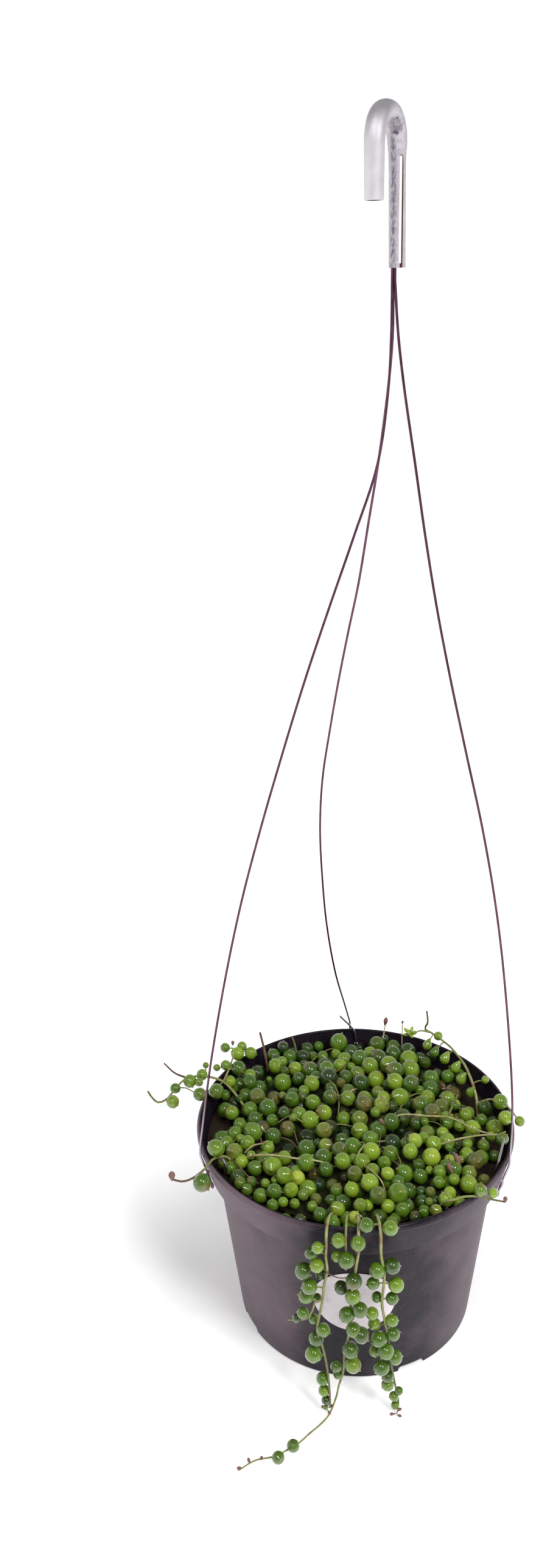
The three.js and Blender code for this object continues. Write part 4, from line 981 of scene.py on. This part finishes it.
# Leaves that catch the eye, each where it is seen: x, y, height, radius.
chosen_leaves = [
    (-62.7, 15.8, 99.1, 3.9), (-55.5, 2.9, 100, 3.5), (-64.1, -6.9, 99.4, 4.4), (-65.7, -26.8, 110.5, 4.2),
    (-57.7, -19.7, 102.3, 4.3), (-54.3, -24.4, 100.4, 3.4), (-54.8, -38.6, 99.9, 3), (-49.7, -39, 101, 2.5),
    (-55, -10.2, 102, 2.3), (-50.6, 11.6, 102.3, 4), (-41.7, 10, 104.1, 4.5), (-45.9, 29.7, 101.7, 3.8),
    (-52.6, 23.9, 101.6, 3.7), (-33.2, 60.2, 104.4, 3.3), (-38.4, 56.5, 102.1, 3.7),
    (-29.8, 56, 101.5, 3.8), (-22.8, 56, 101.1, 3.7), (-20.2, 65.3, 99.6, 3.6), (-12.5, 56.5, 100.4, 3.2),
    (-10.8, 31.2, 105.6, 4.8), (-19.5, 27.1, 105.2, 4.1), (-2, 33.5, 103.9, 3.6), (5.3, 28.1, 103.5, 4.6),
    (16.8, 64.9, 101.3, 4.5), (25.4, 63.1, 100.6, 3.9), (31.8, 48.6, 102.4, 5.1),
    (21.2, 66.5, 103.5, 2.3), (56.3, 6.9, 99.9, 3.1), (61.9, 1.9, 99.2, 3), (23, -3.6, 105.2, 1.8),
    (33.2, -4.9, 104.7, 2.3), (44, -6.3, 104.1, 2.8), (49.7, -7, 103.4, 3.1), (42, -24.4, 104.8, 2),
    (51.3, -20, 103, 2.6), (58.9, -20.1, 101.7, 3), (66.5, -24.9, 109.1, 3), (63.4, -14, 101.9, 2.3),
    (49.1, -38.6, 101.6, 3.6), (50.3, -25.3, 100.8, 3.7), (36.1, -55.6, 102, 3.4), (38.4, -51.7, 102, 3),
    (6.2, -54.4, 104.2, 4), (15.2, -53.3, 104.2, 4.7), (16.3, -60.5, 101.4, 3.3),
    (26.1, -59.6, 99.2, 2.9), (29.9, -50.8, 102.1, 2.4), (28.6, -56.3, 101.6, 1.9),
    (34.5, -44.8, 102.3, 3), (-19.7, -61.4, 100.7, 3.3), (-12.1, -59.2, 101.7, 3.5),
    (-5, -48.8, 103.2, 3.5), (-1.9, -58.8, 103, 3.2), (-5, -64.8, 101.7, 2.9), (-40.1, -31.3, 102.8, 4.5),
    (-48.1, -30.2, 101.2, 3.6), (-24.7, -32, 104.9, 4.2), (-28.8, -40.1, 103.2, 3.4),
    (-32, -46.7, 102.1, 3.5), (-35.7, -53.5, 101.5, 2.4), (-30.6, -54.5, 101.2, 2.4),
    (-40.4, -54.5, 100.8, 2.7), (-26.7, -49.5, 101.6, 2.7), (-43.4, -41.4, 101.8, 2.2),
    (-39.5, -40.3, 102.1, 1.4), (-21, -50.3, 99.7, 2.8), (-11.7, -46.1, 100.8, 3.1),
    (-15.8, -35.2, 103.4, 3.5), (-7.9, -31.3, 104.5, 4)]
mat = Growth(301)
chance = random_source(71)
taken = []  # each leaf so far, as above


def has_room(x, y, z, radius, closeness):
    return all((x - a) ** 2 + (y - b) ** 2 + (z - c) ** 2 > (closeness * (radius + r)) ** 2
               for a, b, c, r in taken if abs(x - a) < 9 and abs(y - b) < 9)


def off_wall(x, y, z, radius):
    """The place pulled in until the leaf clears the pot's wall."""
    room = (inside_radius(min(z, 103)) - 0.5 - 1.04 * radius) / max(1, math.hypot(x, y))
    return (x * min(1, room), y * min(1, room))


def mat_shade(x, y, z):
    """Fresh at the front and where a stem is young, darker at the back, and painted darker down in the
    gaps, painted shade.
    """
    fresh = 0.41 - 0.16 * y / MAT + 0.13 * math.sin(x / 9 + 2) * math.cos(y / 10)
    fresh += 0.6 * (mat.chance() - 0.5)
    # Painted shade: each millimetre below the crown makes the leaf darker.
    return min(0.92, max(-0.8, max(0, fresh) - 0.22 * max(0, crown(x, y) - 1 - z)))


def mat_blush(x, y):
    """The sunned tops are brownest in the middle and at the back."""
    return max(0, 1.3 * mat.chance() - 0.62 + 0.3 * math.exp(-(x / 40) ** 2 - ((y - 15) / 25) ** 2))


def lay_leaf(x, y, z, radius, lean):
    taken.append((x, y, z, radius))
    mat.leaf((x, y, z), radius, lean, shade=mat_shade(x, y, z), blush=mat_blush(x, y))


for x, y, z, radius in chosen_leaves:
    if z < HEIGHT:
        x, y = off_wall(x, y, z, radius)
    lay_leaf(x, y, z, radius, around(360 * mat.chance(), 0.8, 0.2 + 0.9 * mat.chance()))
# Then the large leaves, spread evenly on a spiral by the golden angle.
SPIRAL_LEAVES, GOLDEN_ANGLE = 180, 137.508
for i in range(SPIRAL_LEAVES):
    middle = around(i * GOLDEN_ANGLE, MAT * math.sqrt((i + 0.5) / SPIRAL_LEAVES), 0)
    x, y = middle.x + 2.4 * (chance() - 0.5), middle.y + 2.4 * (chance() - 0.5)
    radius = (3.2 + 1.5 * chance() ** 0.8) * (1 + 0.12 * y / MAT)
    lift = 4.6 * chance() - 1.8
    lean = around(360 * chance(), 0.9, 0.3 + 0.7 * chance())
    if is_bare(x, y):
        continue
    z = mat_level(x, y) + lift
    x, y = off_wall(x, y, z, radius)
    if has_room(x, y, z, radius, 0.78):
        lay_leaf(x, y, z, radius, lean)
# Then smaller leaves fill what is left, the deeper ones painted darker, painted shade: tries, lowest,
# highest, smallest, largest, how close they may lie, and how much of each bare patch stays bare.
for tries, low, high, small, large, closeness, bare in [
        (1300, -1.8, 1.8, 2.4, 4.2, 0.84, 1.0), (1600, -5.2, -2.0, 2.8, 4.2, 0.82, 1.0),
        (200, -0.6, 2.2, 1.5, 2.4, 0.95, 0.8)]:
    for _ in range(tries):
        angle, out = 360 * chance(), 70 * math.sqrt(chance())
        middle = around(angle, out, 0)
        radius = small + (large - small) * chance()
        z = mat_level(middle.x, middle.y) + low + (high - low) * chance()
        x, y = off_wall(middle.x, middle.y, z, radius)
        if z < SOIL_TOP + 0.9 * radius or is_bare(x, y, bare) or not has_room(x, y, z, radius, closeness):
            continue
        lay_leaf(x, y, z, radius, around(360 * chance(), 0.9, 0.1 + chance()))

# Bare and dry stems seen on top: route, radius, shade.
mat_stems = [
    ([(14, -1, 102), (22.5, -2.3, 107), (34, -4.3, 107.4), (44.6, -5.1, 106.8), (49.5, -7.9, 106.3),
      (54.5, -12.5, 105.8), (61.2, -15.7, 105.3), (66, -16, 104.5), (70.5, -13.5, 104)], 0.6, 0.75),
    ([(34, -21, 102), (42.9, -22.7, 107), (50.3, -20.8, 107.2), (57.7, -18.8, 106.6),
      (65.1, -17.6, 105.6)], 0.6, 0.7),
    ([(44.3, -3.7, 103), (46.5, 0, 107.5), (50.8, 7.2, 110.6)], 0.75, 0.35),
    ([(-53.3, -23.6, 102), (-47.6, -27.4, 106.2), (-39.2, -28.8, 107), (-28.2, -32.5, 107.6),
      (-19.9, -33.5, 107), (-12.9, -33.1, 104)], 0.55, 0.8),
    ([(-52.8, -21.5, 103), (-49, -21.1, 106.6), (-44.8, -20.6, 107.2), (-42.8, -17.1, 105)], 0.5, 0.8),
    ([(-2.3, -32.9, 105), (0, -29, 107.6), (2.2, -25, 107.5), (3, -20, 105)], 0.6, 0.65),
    ([(2, -36, 105), (4.5, -40.9, 106.6), (8.5, -47.2, 105.8), (10, -52, 103)], 0.6, 0.65),
    ([(-41.3, 46.0, 100.0), (-43.2, 51.5, 110.5), (-45.0, 56.0, 117.1)], 0.9, 0.02),
    ([(-26.1, 59.8, 100), (-27, 60.6, 106), (-28.2, 61.7, 109.6)], 0.7, 0.4),
    ([(19.8, 64, 100), (20.4, 65.6, 106), (21.8, 68.6, 111.6)], 0.45, 0.85),
    ([(29.9, 61, 100), (30, 63.4, 107), (30.5, 65.6, 113)], 0.4, 0.85)]
for route, radius, shade in mat_stems:
    mat.stem(smooth_path(route, 2.0), 0.85 * radius, shade, tip=0.8)
# Dead buds, a dried bract in the hollow, and two pale threads that curl over.
for middle, radius, pointing, stretch in [
        ((21.8, 69, 112.4), 1.35, (0.15, 0, 1), 1.8), ((30.5, 66, 113.8), 0.75, (0, 0, 1), 1.2),
        ((44.1, -36.6, 107.4), 1.35, (-0.35, 0.5, 0.8), 2.0),
        ((40, -42.1, 107.2), 1.15, (-0.35, 0.5, 0.8), 2.1),
        ((12.6, -7.8, 107.5), 1.0, (-0.6, 0.3, 0.6), 1.6), ((13.4, 6.7, 110.4), 0.6, (0.3, 0, 1), 1.2),
        ((1.4, 12.8, 111.4), 0.5, (1, 0, 0.2), 1.3)]:
    mat.withered(middle, radius, pointing, stretch)
for i in range(4):
    out = around(100 * i + 20, 1, 0.5)
    mat.withered(Vector((46.5, 17.7, 106.4)) + out * 1.2, 0.55, out, 2.6)
for route in [[(-1.3, 12.3, 105), (-1.2, 12.3, 109.5), (-0.3, 12.5, 111.2), (1.2, 12.8, 111.4)],
              [(11, 6.4, 105), (11.4, 6.4, 108.8), (12.3, 6.6, 110.4), (13.4, 6.7, 110.4)]]:
    mat.stem(smooth_path(route, 0.8), 0.3, 1.1, tip=0.7)
# Creeping stems that show between the leaves.
for _ in range(24):
    heading, x, y = 360 * chance(), *around(360 * chance(), 58 * math.sqrt(chance()), 0).xy
    route = []
    for _ in range(4 + int(4 * chance())):
        if math.hypot(x, y) > 66 or is_bare(x, y):
            break
        route.append((x, y, mat_level(x, y) + 0.2 + 1.8 * chance()))
        heading += 70 * (chance() - 0.5)
        x, y = x + 6.5 * math.cos(math.radians(heading)), y + 6.5 * math.sin(math.radians(heading))
    if len(route) > 2:
        route[0] = (*route[0][:2], route[0][2] - 3)
        route[-1] = (*route[-1][:2], route[-1][2] - 3)
        mat.stem(smooth_path(route, 2.0), 0.3 + 0.15 * chance(), 0.1 + 0.45 * chance(), tip=0.8)
mat.made("pearl_mat_growth", "pearl_mat")

# Under the leaves the stems are matted with dead leaves into a mass, painted near black: partly its own
# dark colour, partly painted shade between the leaves.
TANGLE, TANGLE_RINGS, base = 64.5, 24, SOIL_TOP + 2.5
tangle_outline = [Vector((0, base)), Vector((32, base)), Vector((TANGLE, base))]
tangle_outline += [Vector((TANGLE * i / TANGLE_RINGS, base + 1)) for i in range(TANGLE_RINGS, -1, -1)]
tangle_mesh = turned(tangle_outline, 110)
for corner in tangle_mesh.vertices:
    x, y = corner.co.x / MM, corner.co.y / MM
    for _ in range(12):
        if is_bare(x, y, 1.05):
            x, y = x * 0.97, y * 0.97
    z = base
    if corner.co.z > (base + 0.5) * MM:
        z = max(base + 0.6, mat_level(x, y) - 4.4 + 1.2 * (chance() - 0.5))
    corner.co = Vector((x, y, z)) * MM

# Dead leaf litter: brown-green, fibrous and matt, painted nearly black as the shade deep between the
# leaves.
dead_leaf_in_shade, add = blank_material("matted dead leaf in painted shade")
place = add("TexCoord").outputs["Object"]
fibre = add("TexNoise", {"Vector": place, "Scale": 300, "Detail": 6, "Roughness": 0.7})
shaded_brown = add("ValToRGB", [fibre], stops={0.35: "0a0a05", 0.8: "302d19"})
bump = add("Bump", {"Strength": 0.9, "Distance": 0.001, "Height": fibre})
surface = add("BsdfPrincipled", {
    "Base Color": shaded_brown, "Roughness": 0.9, "Specular IOR Level": 0.2, "Normal": bump})
add("OutputMaterial", [surface])
tangle_mesh.shade_smooth()
tangle_mesh.materials.append(dead_leaf_in_shade)
tangle = put("matted_stems", tangle_mesh)
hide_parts("pearl_mat")
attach(tangle, "root")

# ---------------------------------------------------------------- strands over the front rim
# Four trailing stems root at the front, go over the rim and hang just clear of the pot. The long
# one ends lying on the floor.
LEAF_FULLNESS = 1.1  # how much fuller a leaf is than its radius in the lists
over_rim = [(60, SOIL_TOP - 1.5), (62, SOIL_TOP + 3), (67, HEIGHT - 0.5), (73.5, HEIGHT + 2.6),
            (78, HEIGHT + 1.6), (79.8, HEIGHT - 4)]
# Each strand: its stem's radius; its line by angle, height and how far it stands out; side shoots, each
# with its radius and shade; leaves by angle, height, out and radius; its line and leaves on the floor.
strands = [
    ("strand_front_left", 0.72,
     [(257, 98), (256.8, 92), (257.2, 84), (256.2, 77), (255.5, 67), (254.3, 57),
      (253.7, 48), (255.3, 41, 0.4), (256.7, 31, 1), (257.4, 21, 1.2), (257.7, 12, 1.2), (257.7, 7, 1.2)],
     [([(255.6, 68), (253.1, 64.5, -1), (251.9, 59, -0.6), (250.1, 54.8), (245.2, 51.6), (243.7, 50.7)],
       0.5, 0.6),
      ([(256, 85.8), (257.2, 84.4, 0.8), (258.3, 83.6, 1), (260, 82.6, 1), (261.8, 82.2, 1),
        (263.7, 82.8, 0.8)],
       0.36, 0.05)],
     [(254.6, 98.3, 1.8, 2.4), (252.2, 93, 0.2, 2.6), (254.2, 88.3, 1.8, 2.9), (249.6, 81.9, 0, 3.5),
      (254.6, 79.1, -3, 2.2), (251.8, 75.6, 1.8, 3.2), (250.2, 67.9, 0, 3.1), (253.3, 65.1, -3, 1.9),
      (249, 57.5, 0, 2.5), (246.8, 53.5, 0, 1.8), (252, 52.3, -3, 2.2), (255.7, 50.1, 0, 2.8),
      (253.1, 43, -1.2, 3.2), (252.3, 34.6, 0, 3.6), (255.2, 20.6, 0, 2.7), (255.6, 13.4, 0, 2.4),
      (256.3, 8.2, 0.4, 2), (256.2, 4.2, 1, 1.1)], [], []),
    ("strand_front_short", 0.66, [(263, 98), (263.3, 93), (263.6, 87.5)], [],
     [(260.8, 102.1, 0, 2.9), (263.2, 93.4, 2, 3.3), (260, 90.6, -2.8, 2.3)], [], []),
    ("strand_front_long", 0.74,
     [(266.9, 97), (265.9, 85), (265, 72), (264, 60), (263.8, 49), (262.5, 37, -0.5),
      (262.1, 28, -1.5), (261.6, 22, -2), (260.4, 15.5, -2.2), (259.3, 7, -2.5)], [],
     [(266.7, 101.5, 0.6, 3.1), (265.4, 81.7, 1.8, 3.3), (265.1, 73.1, 1.8, 3.2), (261.3, 72.9, -3, 2.8),
      (263.3, 62.5, 1.8, 3.2), (267.3, 65.6, 1.8, 3.2), (271.2, 61.4, 0, 2.6), (265.4, 53.8, 1.8, 3.2),
      (267.7, 51.7, 2.6, 3.4), (264.4, 41.7, 1.6, 3.4), (265.2, 32.2, 1, 3.4), (259.6, 27.6, -1.8, 2.5),
      (260.1, 21.4, -3.2, 2.2)],
     [(-17.5, -78.6), (-21.9, -83.8), (-26.7, -88), (-31.4, -92.5), (-37.1, -96.1), (-43.5, -99.2),
      (-51, -100.6), (-58, -105)],
     [(-34.3, -95.5, 2.9), (-41, -101.1, 2.9)]),
    ("strand_front_right", 0.74,
     [(273.7, 98), (273.9, 93), (274.9, 84), (274.7, 76), (274.3, 67), (275.2, 57),
      (276, 50), (277.4, 32), (279, 18), (280.2, 8), (280.4, 3)], [],
     [(269.3, 109.4, -1.6, 2.9), (276.7, 107.5, -1, 3.1), (272.7, 85.7, 0, 3.3), (277.3, 87.4, 0, 3.3),
      (271.4, 78.6, 0, 2.6), (278.7, 76.5, 0, 3.2), (273, 67.7, -3, 2.2), (277.5, 69, 0, 2.6),
      (277.5, 56.3, 0, 2.7), (272.2, 52.1, -3, 2.6), (277.9, 48.2, 0, 3), (273.4, 47, 0.8, 3.3),
      (272.7, 36.3, -3, 2.7), (275.5, 40.5, 1.8, 3.4), (278.7, 34.3, 0, 3.2), (274.3, 29.8, 0.8, 3.3),
      (276.5, 22.9, 0, 2.5), (276.5, 17.9, 0, 2.6), (280.4, 13, 0, 1.8), (278.7, 10.2, 0, 2),
      (279.2, 4.4, 0, 1.7)], [], []),
]


# Dry ends: whether it goes on from the stem's tip, a thin curl, and dead leaves (place, radius, pointing).
ends = {
    "strand_front_left": [
        (True, [(-18.2, -76.6, 4), (-18.6, -75.6, 1.4), (-17, -77.2, 0.6)],
         [((-19.6, -75.6, 2.4), 0.8, (-1, 0, 0.5)), ((-16.6, -75.4, 2.6), 0.7, (1, 0.2, 0.6)),
          ((-17.4, -77.4, 1.1), 0.7, (0.5, -1, 0))])],
    "strand_front_long": [
        (False, [(-57.6, -104.4, 1.1), (-58.6, -105.3, 1.2)],
         [((-48.3, -99.6, 1.5), 0.85, (0, -1, 0.4)), ((-53.8, -100.9, 1.4), 0.75, (-0.4, 1, 0.5)),
          ((-57.8, -104.2, 1.3), 0.8, (-1, -0.3, 0.4))])],
    "strand_front_right": [
        (True, [(13.4, -79.6, 2.2), (11.4, -79.8, 1.2)],
         [((14.2, -79.6, 4), 0.75, (1, 0, 0.6)), ((11.2, -79.8, 1.7), 0.75, (-1, -0.2, 0.2)),
          ((14.2, -80.2, 1.1), 0.7, (1, -0.5, 0))])],
}
HANG_OUT, DRAWN_IN = 79.7, 1.2  # from the pot's axis at the rim, and how much nearer at the floor


def hung(angle, z, out=0):
    """A place just off the pot's front, `out` from where the strands hang."""
    return around(angle, HANG_OUT - DRAWN_IN * (1 - z / HEIGHT) + out, z)


for seed, (name, radius, hang, arms, leaves, ground, ground_leaves) in enumerate(strands, 401):
    strand = Growth(seed)
    route = [around(hang[0][0], r, z) for r, z in over_rim] + [hung(*h) for h in hang]
    route += [Vector((x, y, radius + 0.5)) for x, y in ground]
    stems = smooth_path(route, 2.2)
    strand.stem(stems, radius, 0.68, tip=0.45 if ground else 0.65, fade=0.12 if ground else 0.4)
    tip = stems[-1]
    for arm, arm_radius, arm_shade in arms:
        arm = smooth_path([hung(*h) for h in arm], 2.0)
        strand.stem(arm, arm_radius, arm_shade, tip=0.7)
        stems = stems + arm
    for angle, z, out, size in leaves:
        hang_leaf(strand, hung(angle, z, out), size * LEAF_FULLNESS, stems,
                  shade=0.08 + 0.48 * strand.chance())
    for x, y, size in ground_leaves:
        hang_leaf(strand, (x, y, 1.05 * size), size, stems, droop=0, shade=0.32, blush=0.1)
    for end, curl, dead in ends.get(name, []):
        strand.stem(smooth_path([tip, *curl] if end else curl, 1.0), 0.3, 0.0, tip=0.6)
        for place, size, pointing in dead:
            strand.withered(place, size, pointing)
    strand.made(name + "_growth", name)

# ---------------------------------------------------------------- tendrils above the rim
# Shoots that rise clear of the mat: a bunch that reaches over the left rim and curls, two short
# ones over the front rim, and one that runs along the right rim and rears up at its end.
# Each tendril: its stems, with radius, shade and how much they brown; leaves by place and radius, and
# whether they hang as drops; dead buds.
tendrils = [
    ("tendril_left",
     [([(-50, 11, 96), (-54, 16, 102), (-62.9, 27.6, 106.6), (-68, 29.8, 108.2), (-77, 30.2, 109.5),
        (-83.4, 28, 109), (-88.6, 20.4, 107.5), (-92, 15.6, 106.5), (-95.5, 14.4, 106), (-98.9, 18, 106.5),
        (-101.1, 21.6, 107.5)], 0.75, 0.6, 0.2),
      ([(-64, 27.5, 107), (-61.5, 34, 109), (-59.5, 42, 110.2), (-58, 49, 111.5)], 0.6, 0.55, 0),
      ([(-82, 29.4, 109.2), (-88, 32.1, 110.2), (-94, 38.4, 112)], 0.58, -0.1, 0.2)],
     [(-63.2, 50.6, 112, 2.35), (-54.5, 51.3, 112, 2.35), (-56.9, 47.8, 110, 3.2), (-50, 48, 110, 2.9),
      (-62.7, 38, 110, 2.5), (-56.2, 37.9, 108, 3.6), (-60.2, 29, 106.4, 2.5), (-67.3, 37, 109.4, 1.7),
      (-72.9, 38.5, 110, 1.5), (-74.6, 32.4, 108.7, 2.7), (-80.6, 28.3, 108, 3.1), (-67, 19.7, 107.6, 3.6),
      (-74.9, 15, 109.6, 3.1), (-87.6, 23.4, 107.5, 2.5), (-88.4, 14.6, 106, 3),
      (-75.9, 26.4, 108.5, 2), (-50.4, 34.0, 106.5, 2.9), (-60.2, 29.9, 106.5, 2.4)],
     [(-59.2, 52.1, 113.5, 1)]),
    ("tendril_left_front",
     [([(-57, -23, 97), (-61.5, -24.6, 103.6), (-67.2, -30.3, 107), (-70.4, -35.4, 106.4),
        (-75.9, -38.1, 103.4), (-80.9, -38.7, 102), (-85, -37.6, 102.2)], 0.65, 0.7, 0.8)],
     [(-72, -39.9, 102, 3.8)], [(-85.8, -36.6, 103.2, 1.7)]),
    ("tendril_right_front",
     [([(32.5, -55.5, 97), (34.8, -59.2, 103.4), (38, -61.8, 106.9), (43, -61.4, 108.2), (49, -61.5, 108.1),
        (55, -62.4, 107), (60.4, -63.4, 106.4)], 0.6, 0.7, 0.6)],
     [(50.2, -60.2, 110.5, 2.6), (55.7, -60.7, 109, 2)], [(60.6, -63.6, 107.6, 1.1)]),
    ("tendril_back_right",
     [([(61.5, 9, 96), (61.4, 14, 102.6), (60.4, 21, 106.8), (58.3, 34.9, 108.6), (56, 41, 109.6),
        (53, 47.4, 110.6), (49, 52, 112), (45, 56, 113.2), (41.4, 58.8, 114.4), (42.8, 58.7, 118),
        (42.4, 60.6, 124)], 0.75, 0.72, 0.5),
      ([(44.5, 56.4, 113.4), (38.6, 57.6, 114), (34.5, 55.6, 113)], 0.5, 0.6, 0),
      ([(61.4, 12.4, 101), (66.6, 9.4, 105.4), (71, 3, 109), (74, -5, 110.4),
        (76, -12, 110.2)], 0.6, 0.75, 0)],
     [(47.9, 54.5, 112.5, 2.2), (42.2, 52.7, 109, 2.5, True), (45.4, 47.5, 108, 2.5, True),
      (50.1, 42.6, 107.5, 2.8, True), (54.7, 35.8, 106.5, 2.8, True), (56.2, 27.4, 105.5, 2.8, True),
      (59.8, 18.7, 103.6, 2.7, True), (66.8, 21.8, 108, 1.8), (70.5, 1.4, 110, 3.4),
      (70.6, -10.4, 109.6, 3.2), (76.8, -13.8, 110, 2.3)],
     []),
]
for seed, (name, routes, leaves, buds) in enumerate(tendrils, 501):
    tendril = Growth(seed)
    stems = []
    for route, radius, shade, fade in routes:
        points = smooth_path(route, 1.8)
        tendril.stem(points, radius, shade, tip=0.7, fade=fade)
        stems += points
    for x, y, z, size, *drop in leaves:
        hang_leaf(tendril, (x, y, z), size * LEAF_FULLNESS, stems, droop=0.9 if drop else 0.1,
                  drop=bool(drop), shade=0.25 + 0.45 * tendril.chance())
    for x, y, z, size in buds:
        tendril.withered((x, y, z), size, (0, 0, 1), 1.3)
    if name == "tendril_back_right":  # the shoot's tip: a star of leaves not yet filled
        for i in range(8):
            out = around(45 * i + 15, 1.9, 0.4 + 1.3 * (i % 2))
            place = Vector((33.4, 56.4, 112.6)) + out * 0.9
            tendril.leaf(place, 1.0, out, shade=0.75, blush=0, drop=True, stretch=1.9)
    tendril.made(name + "_growth", name)
